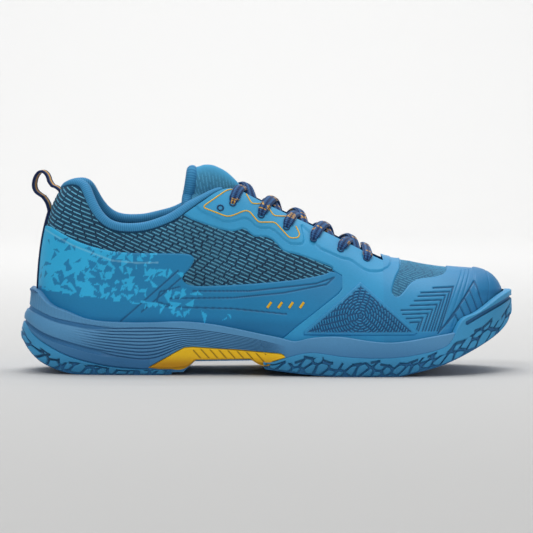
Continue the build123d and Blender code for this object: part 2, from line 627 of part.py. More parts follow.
def main():
    parts = bottom() | upper() | tongue() | lace() | trim()
    parts["collar_roll"] = collar_roll()
    for side, tag in ((-1, "lateral"), (1, "medial")):
        for hole in eyelet_holes(side):
            for name in ("quarter_mesh_", "quarter_lining_", "eyestay_"):
                parts[name + tag] -= hole
    os.makedirs("parts", exist_ok=True)
    for name, shape in parts.items():
        export_step(shape, f"parts/{name}.step")


main()
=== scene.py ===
import math

import bpy
import numpy as np
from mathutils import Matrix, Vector
from mathutils.kdtree import KDTree


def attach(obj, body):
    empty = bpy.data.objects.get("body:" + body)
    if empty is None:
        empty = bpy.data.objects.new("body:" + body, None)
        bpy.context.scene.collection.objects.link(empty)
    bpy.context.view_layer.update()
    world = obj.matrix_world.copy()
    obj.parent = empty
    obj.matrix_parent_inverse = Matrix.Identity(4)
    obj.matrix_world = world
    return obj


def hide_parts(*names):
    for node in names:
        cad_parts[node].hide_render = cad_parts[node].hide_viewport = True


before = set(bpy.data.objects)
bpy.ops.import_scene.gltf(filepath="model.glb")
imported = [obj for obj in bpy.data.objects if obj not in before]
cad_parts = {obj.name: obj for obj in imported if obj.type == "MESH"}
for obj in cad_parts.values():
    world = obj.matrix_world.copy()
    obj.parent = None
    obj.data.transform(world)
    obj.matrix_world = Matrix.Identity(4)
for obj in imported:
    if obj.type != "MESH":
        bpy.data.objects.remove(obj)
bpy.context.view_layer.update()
rng = np.random.default_rng(7)

# ---- The shoe's shape, in millimetres, following the CAD ----
# X runs from heel to toe and Z up. Tables pair x with a height, a width or a share.
TOE_POINT = 12  # index of the toe tip in FOOTPRINT
BOARD = 2.0
SOCKLINER = 4.5
FOOTPRINT = [
    (-139, 0), (-133.5, -17), (-117, -28), (-90, -32.5), (-55, -34), (-15, -37.5), (20, -43.5), (52, -47.5),
    (82, -46.5), (108, -39), (128, -26), (140, -11), (144.5, 7), (140, 23), (127, 36.5), (106, 45),
    (82, 48.5), (56, 47), (25, 41.5), (-8, 35.5), (-45, 32), (-88, 31.5), (-116, 28), (-133.5, 17)]
BED = [
    (-139, 27), (-110, 24), (-70, 22.5), (-30, 20), (10, 16), (45, 14), (75, 14.5), (100, 18.5),
    (120, 23.5), (146, 31)]
SPINE_X = [
    (-139, -95), (-130, -92), (-115, -87.5), (-95, -79), (-70, -66), (-40, -40), (0, 0), (60, 60), (95, 93),
    (115, 107), (130, 115), (145, 121)]
SPINE_Y = [(-95, 0), (-20, 0), (40, 1), (90, 4.5), (121, 7)]
RIDGE = [
    (-95, 127), (-75, 125), (-50, 121.5), (-17, 114.8), (0, 106.8), (20, 97), (45, 84.5), (70, 72.2),
    (83, 67.6), (100, 64), (113, 62.3), (121, 61.6)]
RISE = [
    (-139, .62), (-110, .68), (-80, .75), (-45, .70), (-17, .62), (20, .55), (60, .55), (95, .6),
    (120, .68), (145, .8)]
CROWN = [
    (-139, .80), (-110, .78), (-80, .75), (-45, .62), (-17, .47), (20, .48), (60, .5), (95, .5), (120, .56),
    (145, .64)]
BULGE = [(-139, .5), (-100, .5), (-40, .5), (0, 1), (60, 2), (100, 1.5), (130, 1), (145, 0)]
COLLAR_SEAM = [
    (-123.9, 109.7), (-117.5, 112.6), (-112.1, 110.3), (-108.3, 103.5), (-105.2, 97.3), (-99, 89.8),
    (-90.9, 85.8), (-83.4, 84.5), (-72.8, 85.5), (-63.5, 88.6), (-54.8, 92.7), (-44.3, 99.7),
    (-37.3, 104.3), (-30.3, 108.6)]
THROAT = [(-19, 110.0), (-11, 106.5), (0, 101.0), (20, 91.2), (40, 81.5), (60, 71.8), (69, 67.5)]
RIM_TOP = [
    (-143.4, 50.3), (-139, 48.8), (-133.8, 43.8), (-122.7, 38.5), (-111.4, 34.3), (-101.6, 32.3),
    (-87.7, 31.5), (-66.6, 31.5), (-55, 32), (-34.5, 30.7), (-18.2, 27.9), (-1.9, 24.6), (10.4, 22.1),
    (17, 20.8), (24, 22.3), (32, 23.4), (44.5, 23.6), (56, 22), (75.4, 20.3), (90.2, 22), (101.3, 23.8),
    (115, 26), (130, 30), (152, 36)]
HEEL_RUBBER_TOP = [
    (-152, 34), (-146.6, 30.5), (-141.6, 24.9), (-133.2, 18.6), (-122.7, 13), (-108.6, 8.4), (-94.7, 5.6),
    (-80.6, 4.2), (-64, 3.6), (-57, 3.4)]
TOE_RUBBER_TOP = [
    (4, 8.5), (14, 11.7), (26.7, 14.2), (38.4, 13), (53.2, 11.5), (68, 11.1), (82.8, 12), (93.9, 13.8),
    (105, 16.8), (111, 22), (115, 30), (123.4, 36), (134.5, 42), (141.9, 46.5), (152, 50)]
SHANK_TOP = [
    (-72, 4.2), (-66, 7.6), (-60, 11.0), (-54, 14.5), (-49.3, 17), (-44.3, 17.4), (-20, 15.9), (8.7, 13.8),
    (13.5, 11.4)]
SHANK_LOW = [
    (-72, 4.5), (-64, 3.9), (-56.6, 3.9), (-47.6, 5.1), (-42.7, 9.2), (-9.2, 10.0), (-5.1, 7.5), (2.5, 7.5),
    (4, 8.6), (14, 11.8)]
GROUND = [
    (-149, 24), (-147.9, 20), (-143.7, 13.7), (-136.6, 7.4), (-129.7, 4.0), (-122.7, 1.7), (-108, 0),
    (-80, 0), (-62, 0), (-56, 3.6), (-50, 4.2), (-46, 7.5), (-42.7, 9.1), (-25, 9.7), (-9.2, 9.9),
    (-5.1, 7.3), (-1, 4.4), (18, 1.8), (40, 0), (60, 0), (80, 0), (90.2, 2.6), (101.3, 5.3), (112.4, 9.4),
    (123.4, 14.6), (132.3, 19.3), (141.2, 25), (147.1, 31), (149.5, 38)]
CREASE_HIGH = [
    (-152, 42), (-142.8, 38.9), (-129.7, 33.6), (-115.7, 30.5), (-105.2, 28.9), (-80, 28.3), (-50, 28.0),
    (-20, 24.5), (5, 19.5), (20, 15.5)]
CREASE_LOW = [
    (-152, 33), (-145.8, 30.5), (-136.6, 24.9), (-122.7, 19.6), (-108.6, 15.6), (-94.7, 12.6),
    (-84.1, 10.8), (-66, 11), (-49, 17.8), (-30, 17.2), (8, 14.4), (20, 13.4)]
SOLE_SIDE = [(-2, 2.4), (8, 5.2), (18, 5.6), (28, 4.9), (38, 4.3), (48, 4), (58, 4)]
SOLE_BACK = [(-2, 9), (8, 10.2), (18, 10.2), (28, 8.6), (38, 5.2), (48, 3.9), (58, 3.9)]
EYELETS = [
    (-27.8, 99.4), (-20.4, 101.8), (-3.3, 94.6), (12.1, 87.2), (27.9, 80.3), (44.3, 74.0), (59.6, 68.0)]
LOOP = [
    (-129.9, 112.6), (-132, 115.4), (-132.6, 118.5), (-134.5, 121), (-137, 121.9), (-139.4, 119.7),
    (-141, 116), (-141.3, 112.2), (-140.1, 109.1), (-137.2, 107.0), (-135.2, 105.8)]
LOOP_TOP = [(-124.5, 109.0), (-126.6, 111.2), (-128.4, 112.2), (-130.3, 112.8)]
LOOP_FOOT = [(-131.6, 97.0), (-132.4, 100.5), (-133.6, 103.5), (-135.8, 106.2)]

# Side-view outlines of the upper's printed and welded regions
MESH_WINDOW = [
    (-131.4, 88.6), (-125.8, 85.5), (-115.8, 80.5), (-107.1, 77.3), (-94.7, 74.2), (-82.2, 73.0),
    (-53.1, 72.8), (-46.4, 72.4), (-43.6, 70.3), (-43.6, 68.5), (-45.7, 64.7), (-50.6, 59.1), (-50.9, 57.0),
    (-47.8, 54.2), (-40.7, 53.1), (-23.2, 53.8), (-2.3, 55.2), (18.8, 57.3), (34.2, 60.1), (39.8, 62.6),
    (39.8, 64.7), (32.8, 67.5), (18.8, 72.4), (10.4, 74.1), (6.8, 78.0), (3.4, 81.5), (-0.9, 83.0),
    (-7.1, 82.9), (-9.9, 85.0), (-13.4, 87.9), (-20.4, 86.0), (-28.9, 87.8), (-37.3, 90.6), (-47.8, 94.4)]
OVER_COLLAR = [(-60, 104), (-85, 104), (-100, 118), (-118, 130), (-150, 130), (-150, 93)]
FILM_SPLIT = [(51.6, 55.8), (8.8, 22.3)]
VAMP_WINDOW = [
    (80.9, 63.7), (77.5, 58), (75.4, 52.6), (75.0, 49.3), (76.8, 47.2), (79.1, 47.1), (81.3, 48.6),
    (86.5, 54.8), (91.6, 57.1), (101.3, 57.8), (108, 59.5), (112, 66), (112, 90), (81, 90)]
YELLOW = [
    (-19.0, 109.6), (-23.2, 109.9), (-26.0, 108.5), (-38.3, 100.4), (-38.2, 99.6), (-24.0, 94.2),
    (-20.4, 94.8), (-13.4, 97.6), (-10.7, 97.2), (-5.1, 90.6), (4.8, 90.5), (13.8, 81.1), (18.8, 81.1),
    (20.0, 82.9), (17.4, 87.8)]
YELLOW_UP = [(-12.7, 107.0), (-9.3, 101.4), (-0.9, 101.1), (4.1, 94.1), (13.2, 93.5)]
EYESTAY = [
    (-60, 125), (-41.5, 99.0), (-31.7, 94.8), (-26.0, 92.0), (-20.4, 92.0), (-13.4, 94.1), (-9.9, 92.7),
    (-5.7, 88.1), (3.4, 87.8), (13.2, 78.7), (20.9, 78.1), (22.3, 80.1), (20, 90), (27, 84), (31, 76),
    (38, 73), (46, 69.5), (50, 69), (60, 62), (68, 61.5), (74, 64), (76, 72), (60, 100), (0, 125)]
TRIANGLE = [(56.2, 55.5), (90.2, 26.0), (88, 24.5), (22.4, 24.5), (22.4, 27.0)]
TRIANGLE_CENTRE = (56.1, 36.0)
# The path of a painted highlight on the heel's side.
HEEL_HIGHLIGHT_LINE = [(-139, 89), (-132.4, 85.7), (-115.9, 77.2), (-92.7, 68.6), (-78, 67.2), (-65.3, 67.4)]
TOE_SLOT = [(120.1, 31.6), (128, 35.8), (138, 40.6), (147.5, 45.0)]
PRESSED_LINES = [
    [(-53.1, 62.5), (-87.8, 32.0)],
    [(-47, 62), (-62, 49), (-75, 38)],
    [(-44, 50.5), (-10, 50.5), (30, 55), (40.5, 58.5), (36, 54.5), (10, 49.5), (-20, 46.5), (-58, 46)],
    [(-62, 41), (-20, 40), (12, 37)],
    [(-52, 53), (-64, 50), (-66, 44), (-55, 41)]]
CHEVRON_TIPS = [  # tip x, tip z, and the left end's x
    (112.4, 51.9, 100.2), (110.1, 49.3, 92.7), (107.4, 47.3, 90.9), (104.9, 44.8, 88.7),
    (102.3, 42.1, 86.1), (99.4, 39.5, 80.5), (96.8, 37.1, 81.3), (93.5, 34.7, 83.5), (91.3, 32.3, 85.7)]


def smooth(table):
    """A natural cubic spline through (x, value) pairs, held flat outside them."""
    xs, ys = (np.array(column, float) for column in zip(*table))
    count, step = len(xs), np.diff(xs)
    matrix, right = np.zeros((count, count)), np.zeros(count)
    matrix[0, 0] = matrix[-1, -1] = 1
    for i in range(1, count - 1):
        matrix[i, i - 1:i + 2] = step[i - 1], 2 * (step[i - 1] + step[i]), step[i]
        right[i] = 6 * ((ys[i + 1] - ys[i]) / step[i] - (ys[i] - ys[i - 1]) / step[i - 1])
    bend = np.linalg.solve(matrix, right)

    def value(x):
        x = np.clip(x, xs[0], xs[-1])
        i = np.clip(np.searchsorted(xs, x) - 1, 0, count - 2)
        a, b = (xs[i + 1] - x) / step[i], (x - xs[i]) / step[i]
        curve = ((a**3 - a) * bend[i] + (b**3 - b) * bend[i + 1]) * step[i]**2 / 6
        return a * ys[i] + b * ys[i + 1] + curve
    return value


def linear(table):
    """Straight runs through (x, value) pairs."""
    xs, ys = zip(*table)
    return lambda x: np.interp(x, xs, ys)


def footprint(points, toe):
    """The closed outline as a function of w: 0 heel, 1 toe tip, 2 heel again, the lateral side first."""
    loop = np.array(points * 3 + points[:1], float)
    run = np.r_[0, np.cumsum(np.linalg.norm(np.diff(loop, axis=0), axis=1))]
    x_of, y_of = smooth(list(zip(run, loop[:, 0]))), smooth(list(zip(run, loop[:, 1])))
    n, parts = len(points), []
    for first, last in ((n, n + toe), (n + toe, 2 * n)):
        t = np.linspace(run[first], run[last], 1500)
        x, y = x_of(t), y_of(t)
        arc = np.r_[0, np.cumsum(np.hypot(np.diff(x), np.diff(y)))]
        parts.append((arc / arc[-1], x, y))
    w = np.r_[parts[0][0], 1 + parts[1][0][1:]]
    x = np.r_[parts[0][1], parts[1][1][1:]]
    y = np.r_[parts[0][2], parts[1][2][1:]]
    return lambda q: (np.interp(np.mod(q, 2), w, x), np.interp(np.mod(q, 2), w, y))


foot = footprint(FOOTPRINT, TOE_POINT)
bed, spine_x, spine_y, ridge = smooth(BED), smooth(SPINE_X), smooth(SPINE_Y), smooth(RIDGE)
rise, crown, bulge = smooth(RISE), smooth(CROWN), smooth(BULGE)
rim_top, heel_top, toe_top = smooth(RIM_TOP), smooth(HEEL_RUBBER_TOP), smooth(TOE_RUBBER_TOP)
ground, shank_top, shank_low = linear(GROUND), linear(SHANK_TOP), linear(SHANK_LOW)
sole_side, sole_back = smooth(SOLE_SIDE), smooth(SOLE_BACK)
crease_high, crease_low = smooth(CREASE_HIGH), smooth(CREASE_LOW)


def step(x, a, b):
    """A smooth rise from 0 at a to 1 at b."""
    t = np.clip((x - a) / (b - a), 0, 1)
    return t * t * (3 - 2 * t)


def surface(w, v):
    """A point of the upper's outer mesh surface: v runs from the board (0) to the ridge (1)."""
    w, v = np.broadcast_arrays(np.asarray(w, float), np.asarray(v, float))
    x0, y0 = foot(w)
    x1 = spine_x(x0)
    y1 = spine_y(x1)
    z0, z1 = bed(x0) + BOARD, ridge(x1)
    reach = np.hypot(x1 - x0, y1 - y0)
    early, late, end = 3 * (1 - v)**2 * v, 3 * (1 - v) * v**2, v**3
    inward = -bulge(x0) * early + (late * (1 - crown(x0)) + end) * reach
    z = z0 + (z1 - z0) * (early * rise(x0) + late + end)
    return np.stack([x0 + (x1 - x0) * inward / reach, y0 + (y1 - y0) * inward / reach, z], -1)


def normal(w, v):
    """The outward normal of surface(w, v)."""
    e = 1.5e-3
    w, v = np.broadcast_arrays(np.asarray(w, float), np.asarray(v, float))
    v = np.clip(v, e, 1 - 2 * e)
    n = np.cross(surface(w + e, v) - surface(w - e, v), surface(w, v + e) - surface(w, v - e))
    return n / np.linalg.norm(n, axis=-1, keepdims=True)


def wall(w, v, depth=0.0):
    """A point at depth outside (or, if negative, inside) the mesh's outer surface."""
    depth = np.broadcast_to(np.asarray(depth, float), np.broadcast(w, v).shape)
    return surface(w, v) + depth[..., None] * normal(w, v)


W_FINE = np.linspace(0, 2, 4001)
X_FINE = foot(W_FINE)[0]


def w_at(x, side):
    """w where the footprint passes x: side -1 is lateral, +1 medial."""
    if side < 0:
        return np.interp(x, X_FINE[:2001], W_FINE[:2001])
    return np.interp(-np.asarray(x), -X_FINE[2000:], W_FINE[2000:])


GRID_W, GRID_V = np.meshgrid(np.linspace(0, 1, 401), np.linspace(0, 1, 201), indexing="ij")
GRID = surface(GRID_W, GRID_V)


def coarse(x, z):
    """The grid's nearest (w, v) to a side-view point of the lateral side."""
    i = np.unravel_index(np.argmin((GRID[..., 0] - x)**2 + (GRID[..., 2] - z)**2), GRID_W.shape)
    return GRID_W[i], GRID_V[i]


def locate(x, z):
    """(w, v) of the lateral point whose side view is x, z, refined by Newton steps."""
    q, e = np.array(coarse(x, z)), 1e-4
    for _ in range(4):
        p = surface(*q)[[0, 2]]
        along_w = (surface(q[0] + e, q[1])[[0, 2]] - p) / e
        along_v = (surface(q[0], q[1] + e)[[0, 2]] - p) / e
        move = np.linalg.lstsq(np.stack([along_w, along_v], -1), np.array([x, z]) - p, rcond=1e-3)[0]
        q = np.clip(q + np.clip(move, -0.01, 0.01), 0, 1)
    return q[0], q[1]


edge = smooth([(0.0, coarse(*COLLAR_SEAM[0])[1])] + [coarse(x, z) for x, z in COLLAR_SEAM[1:] + THROAT])
W_COLLAR, W_VAMP = float(coarse(*COLLAR_SEAM[-1])[0]), float(w_at(70, -1))


def lateral(w):
    """The lateral w at the same x."""
    w = np.mod(w, 2)
    return np.where(w <= 1, w, w_at(foot(w)[0], -1))


def edge_at(w):
    """v of the upper's top edge. The medial collar stands a little higher."""
    u = lateral(w)
    medial = np.mod(w, 2) > 1
    return edge(u) + np.where(medial, 0.028 * step(u, 0.04, 0.16) * (1 - step(u, 0.26, 0.37)), 0)


def mirror_w(w):
    """The medial w at the same x as a lateral one."""
    return w_at(foot(w)[0], 1) if w > 0.02 else 2 - w


W_VAMP_MEDIAL = float(mirror_w(W_VAMP))


# ---- Drawing on the side view ----
def rounded(points, times=2):
    """A closed outline with its corners cut."""
    p = np.array(points, float)
    for _ in range(times):
        q = np.roll(p, -1, 0)
        p = np.stack([p * 0.8 + q * 0.2, p * 0.2 + q * 0.8], 1).reshape(-1, 2)
    return p


def inside(x, z, outline):
    """Signed distance to a closed outline, positive inside."""
    p = np.asarray(outline, float)
    q = np.roll(p, -1, 0)
    best, odd = np.full(x.shape, 1e9), np.zeros(x.shape, bool)
    for (ax, az), (bx, bz) in zip(p, q):
        dx, dz = bx - ax, bz - az
        t = np.clip(((x - ax) * dx + (z - az) * dz) / (dx * dx + dz * dz + 1e-9), 0, 1)
        best = np.minimum(best, (x - ax - t * dx)**2 + (z - az - t * dz)**2)
        if az != bz:
            odd ^= ((az > z) != (bz > z)) & (x < (bx - ax) * (z - az) / (bz - az) + ax)
    return np.sqrt(best) * np.where(odd, 1, -1)


def near(x, z, path):
    """Distance to an open path."""
    best = np.full(x.shape, 1e9)
    for (ax, az), (bx, bz) in zip(path[:-1], path[1:]):
        dx, dz = bx - ax, bz - az
        t = np.clip(((x - ax) * dx + (z - az) * dz) / (dx * dx + dz * dz), 0, 1)
        best = np.minimum(best, (x - ax - t * dx)**2 + (z - az - t * dz)**2)
    return np.sqrt(best)


def groove(distance, half, deep):
    """Relief of a groove, from the distance to its middle line."""
    return -deep * (1 - step(distance, half * 0.4, half))


def wave(x, pitch):
    """A cosine ripple of the given pitch, from -1 to 1."""
    return np.cos(x * 2 * math.pi / pitch)


def corner_cut(p):
    """An open path with its corners cut once, its ends kept."""
    a, b = p[:-1], p[1:]
    inner = np.stack([a * 0.75 + b * 0.25, a * 0.25 + b * 0.75], 1).reshape(-1, p.shape[1])[1:-1]
    return np.vstack([p[:1], inner, p[-1:]])


def arc_length(p):
    return np.r_[0, np.cumsum(np.linalg.norm(np.diff(p, axis=0), axis=1))]


def resample(p, length, even):
    """The path's points at even distances along it."""
    return np.stack([np.interp(even, length, column) for column in p.T], -1)


def unit(vectors):
    return vectors / np.linalg.norm(vectors, axis=1, keepdims=True)


def srgb(r, g, b):
    """A colour from 0 to 255 as linear light."""
    c = np.array([r, g, b], float) / 255
    return np.where(c <= 0.04045, c / 12.92, ((c + 0.055) / 1.055)**2.4)


def mix(a, b, t):
    return a + (b - a) * np.asarray(t)[..., None]


# ---- Meshes and materials ----
def grid_mesh(name, points, body="shoe", replaces=(), mat=None, colour=None, keep=None, loop=False):
    """A mesh on a grid of points in millimetres. keep marks the points whose faces stay."""
    n, m = points.shape[:2]
    index = np.arange(n * m).reshape(n, m)
    if loop:
        index = np.vstack([index, index[:1]])
    quads = np.stack([index[:-1, :-1], index[1:, :-1], index[1:, 1:], index[:-1, 1:]], -1).reshape(-1, 4)
    if keep is not None:
        quads = quads[keep.reshape(-1)[quads].any(1)]
    used, quads = np.unique(quads, return_inverse=True)
    quads = quads.reshape(-1, 4)
    flat = points.reshape(-1, 3)[used] / 1000
    mesh = bpy.data.meshes.new(name)
    mesh.vertices.add(len(flat))
    mesh.vertices.foreach_set("co", flat.astype(np.float32).ravel())
    mesh.loops.add(quads.size)
    mesh.loops.foreach_set("vertex_index", quads.ravel().astype(np.int32))
    mesh.polygons.add(len(quads))
    mesh.polygons.foreach_set("loop_start", np.arange(0, quads.size, 4, dtype=np.int32))
    mesh.update(calc_edges=True)
    mesh.validate()
    mesh.polygons.foreach_set("use_smooth", np.ones(len(mesh.polygons), bool))
    if colour is not None:
        rgba = np.ones((len(flat), 4), np.float32)
        rgba[:, :3] = np.broadcast_to(colour, points.shape).reshape(-1, 3)[used]
        layer = mesh.color_attributes.new("Tint", "FLOAT_COLOR", "POINT")
        layer.data.foreach_set("color", rgba.ravel())
    obj = bpy.data.objects.new(name, mesh)
    bpy.context.scene.collection.objects.link(obj)
    if mat:
        mesh.materials.append(mat)
    if replaces:
        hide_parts(*replaces)
    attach(obj, body)
    return obj


def material(name, colour=None, rough=0.6, grain=0.15, scale=900, bump=0.2, sheen=0.0, coat=0.0, weave=0.0,
             stretch=(1, 1, 1)):
    """A procedural finish: colour (or the mesh's own tint), fine grain, an optional weave, and sheen."""
    mat = bpy.data.materials.new(name)
    mat.use_nodes = True
    nodes, links = mat.node_tree.nodes, mat.node_tree.links

    def node(kind, inputs, **settings):
        made = nodes.new("ShaderNode" + kind)
        for key, value in settings.items():
            setattr(made, key, value)
        for key, value in inputs.items():
            if isinstance(value, bpy.types.NodeSocket):
                links.new(value, made.inputs[key])
            else:
                made.inputs[key].default_value = value
        return made.outputs

    place = node("TexCoord", {})["Object"]
    stretched = node("Mapping", {"Vector": place, "Scale": stretch})["Vector"]
    fine = node("TexNoise", {"Vector": stretched, "Scale": scale, "Detail": 4})["Fac"]
    cloud = node("TexNoise", {"Vector": place, "Scale": 28, "Detail": 3})["Fac"]
    both = node("Math", {0: fine, 1: 0.5, 2: cloud}, operation="MULTIPLY_ADD")[0]
    spread = node("MapRange", {"Value": both, "From Min": 0.45, "From Max": 1.05, "To Min": 1 - grain,
                               "To Max": 1 + grain})["Result"]
    own = tuple(srgb(*colour)) if colour else node("Attribute", {}, attribute_name="Tint")["Color"]
    tint = node("VectorMath", {0: own, "Scale": spread}, operation="SCALE")[0]
    height = fine
    if weave:
        threads = {"Vector": place, "Scale": weave, "Distortion": 0.6, "Detail Scale": 3}
        over, under = (node("TexWave", threads, bands_direction=axis)["Fac"] for axis in "XZ")
        height = node("Math", {0: over, 1: under}, operation="MULTIPLY")[0]
    relief = node("Bump", {"Strength": bump, "Distance": 0.0003, "Height": height})["Normal"]
    shader = nodes["Principled BSDF"].inputs
    finish = {"Roughness": rough, "Specular IOR Level": 0.3, "Sheen Weight": sheen * 0.5,
              "Sheen Roughness": 0.4, "Coat Weight": coat, "Coat Roughness": 0.3}
    for key, value in finish.items():
        shader[key].default_value = value
    links.new(tint, shader["Base Color"])
    links.new(relief, shader["Normal"])
    return mat


M = {
    "mesh": material("knit_mesh", None, 0.8, 0.25, 1500, 0.4, sheen=0.2),
    "film": material("welded_film", None, 0.5, 0.10, 700, 0.10, coat=0.08, stretch=(1, 1, 3)),
    "foam": material("moulded_foam", None, 0.55, 0.09, 1200, 0.15, coat=0.05),
    "rubber": material("moulded_rubber", None, 0.5, 0.10, 1500, 0.15),
    "roll": material("rib_knit", None, 0.75, 0.12, 1500, 0.3, sheen=0.25),
    "yellow": material("yellow_film", (238, 186, 30), 0.5, 0.06, 900, 0.1),
    "plate": material("yellow_plate", None, 0.42, 0.07, 600, 0.1, coat=0.15),
    "lace": material("braid", None, 0.8, 0.2, 2200, 0.4, sheen=0.3),
    "tape": material("webbing", None, 0.75, 0.2, 1800, 0.4, sheen=0.2, weave=600),
    "board": material("board", (205, 205, 198), 0.9, 0.12, 900, 0.3),
    "tip": material("lace_tip", (30, 44, 90), 0.3, 0.05, 500, 0.05, coat=0.4),
    "inner": material("foam_core", (205, 200, 170), 0.9, 0.15, 1500, 0.4),
    # Painted shadow for the eyelet holes.
    "dark": material("painted_hole_shadow", (20, 34, 52), 0.95, 0.2, 1500, 0.3),
    "rubber_cad": material("rubber_cad", (40, 108, 160), 0.55, 0.12, 1200, 0.15),
    "foam_cad": material("foam_cad", (58, 120, 170), 0.55, 0.12, 1200, 0.15),
    "plate_cad": material("plate_cad", (214, 164, 20), 0.55, 0.12, 1200, 0.15),
}

# ---- Upper ----
SIDES = ((-1, "lateral"), (1, "medial"))
BRIGHT, DARK = srgb(48, 182, 234), srgb(30, 133, 186)
LIGHT, MID = srgb(52, 157, 208), srgb(47, 144, 196)
WINDOW = rounded(MESH_WINDOW + OVER_COLLAR, 2)
LOWER = rounded([(-160, 92)] + MESH_WINDOW[:20] + FILM_SPLIT + [(0, 10), (-160, 10)], 1)
SPLIT = rounded([(-60, 130), (-52, 97), (-47.8, 94.4)] + MESH_WINDOW[-2:-16:-1] + FILM_SPLIT
                + [(0, 10), (90, 10), (90, 130)], 1)
STAY = rounded(EYESTAY, 1)
shard_sites = np.stack([rng.uniform(-150, 60, 1500), rng.uniform(20, 95, 1500)], -1)
shard_pick = rng.random(1500)
splinters = []  # centre x and z, size, turn, slimness, and 1 for a light one
for _ in range(360):
    cx = -134 + 140 * rng.random()**1.1
    low_z, high_z = 50 - (cx + 138) * 0.165, np.interp(cx, [-139, -60, -44, 0, 30], [84, 72, 54, 47, 40])
    cz = low_z + (high_z - low_z) * rng.random()
    light = 1.0 if cx > -100 + 16 * rng.normal() else 0.0
    if light < 0.5 and rng.random() < np.interp(cx, [-135, -105], [0.93, 0.15]):
        continue
    if light > 0.5 and rng.random() < np.interp(cx, [-75, -50, -36, 6], [0.15, 0.72, 0.9, 0.95]):
        continue
    splinters.append((cx, cz, rng.uniform(1.2, 3.7), rng.uniform(0, 6.28), rng.uniform(0.3, 0.8), light))


def unrolled(w):
    """Distance along the foot from the heel's back, matched to x along the side."""
    u = lateral(w)
    x = foot(w)[0]
    return np.where(u < 0.16, -139 + (u / 0.16) * (139 + X_FINE[320]), x)


def weave_colour(a, z):
    """Light dashes on dark cloth, running down towards the toe."""
    tilt = math.radians(24)
    across = (z + a * math.tan(tilt)) * math.cos(tilt) / 2.15
    along = a * math.cos(tilt) - z * math.sin(tilt)
    row = np.floor(across)
    jitter = np.mod(np.sin(row * 12.9898) * 43758.5453, 1)
    on = np.clip(1.5 - np.abs(across - row - 0.5) / 0.11, 0, 1)
    on = on * (np.mod(along / (5.2 + 1.6 * jitter) + 0.5 * np.mod(row, 2) + 0.4 * jitter, 1) < 0.84)
    rib = 0.5 + 0.5 * np.cos(along * 2 * math.pi / 1.15)
    base = mix(srgb(16, 50, 76), srgb(36, 84, 116), rib * (0.5 + 0.5 * np.cos(across * 2 * math.pi)))
    return mix(base, srgb(112, 200, 238), on), on * 0.28 + 0.1 * rib


def side_grid(w0, w1, columns, rows, low=0.02, high=None):
    """(w, v) grids between two w, from v = low up to the top edge or high."""
    w, t = np.meshgrid(np.linspace(w0, w1, columns), np.linspace(0, 1, rows), indexing="ij")
    top = edge_at(w) if high is None else high
    return w, low + (top - low) * t


def finish_skin(name, w, v, film, relief, colour, replaces, thick=0.9, base=0.0):
    """A welded layer: full thickness where film > 0, rounded down into what lies under it at its edge."""
    depth = base - 0.35 + (thick + 0.35) * step(film, -0.45, 0.45) + relief * step(film, -0.2, 0.8)
    return grid_mesh(name, wall(w, v, depth), "shoe", replaces, M["film"], colour, film > -0.8)


def embossed(x, z):
    """Thin lines pressed into the lower quarter."""
    return np.maximum(sum(groove(near(x, z, line), 0.6, 0.4) for line in PRESSED_LINES), -0.4)


def shards(a, z):
    """Shattered print: full at the heel, with a torn edge, dark splinters in it and light ones past it."""
    tree = KDTree(len(shard_sites))
    for i, (x0, z0) in enumerate(shard_sites):
        tree.insert((x0, z0 * 1.15 + x0 * 0.25, 0), i)
    tree.balance()
    found = np.array([tree.find((x1, z1 * 1.15 + x1 * 0.25, 0))[1] for x1, z1 in zip(a.ravel(), z.ravel())])
    pick = shard_pick[found].reshape(a.shape)
    floor_z = 51 - (a + 138) * 0.165
    share = np.interp(a, [-120, -108, -96, -84], [1.0, .85, .45, 0])
    share = np.where((z - floor_z < 4) & (a < -62), np.maximum(share, 0.5), share)
    print_on = (pick < share) & (z - floor_z > 0.5 + 2.5 * pick)
    for cx, cz, size, turn, slim, light in splinters:
        near_it = (np.abs(a - cx) < size * 2) & (np.abs(z - cz) < size * 2)
        if not near_it.any():
            continue
        u = (a[near_it] - cx) * math.cos(turn) + (z[near_it] - cz) * math.sin(turn)
        v = -(a[near_it] - cx) * math.sin(turn) + (z[near_it] - cz) * math.cos(turn)
        shape = [(-size, -size * slim), (size * 1.3, -size * 0.1), (-size * 0.3, size * slim)]
        hit = inside(u, v, shape) > 0
        print_on[near_it] = np.where(hit, light > 0.5, print_on[near_it])
    return print_on.astype(float)


def quarter_mesh(side, tag):
    w0, w1 = (0.0, W_VAMP) if side < 0 else (2.0, W_VAMP_MEDIAL)
    w, v = side_grid(w0, w1, 400, 190)
    p = surface(w, v)
    x, z = p[..., 0], p[..., 2]
    tint, relief = weave_colour(unrolled(w), z)
    # Painted shade: the mesh darker towards the bottom and lighter towards the top.
    painted_shade = 0.85 + 0.15 * step(z, 50, 100)
    grid_mesh("quarter_mesh_" + tag, wall(w, v, relief - 0.12), "shoe", ["quarter_mesh_" + tag], M["mesh"],
              tint * painted_shade[..., None], inside(x, z, WINDOW) > -3.5)


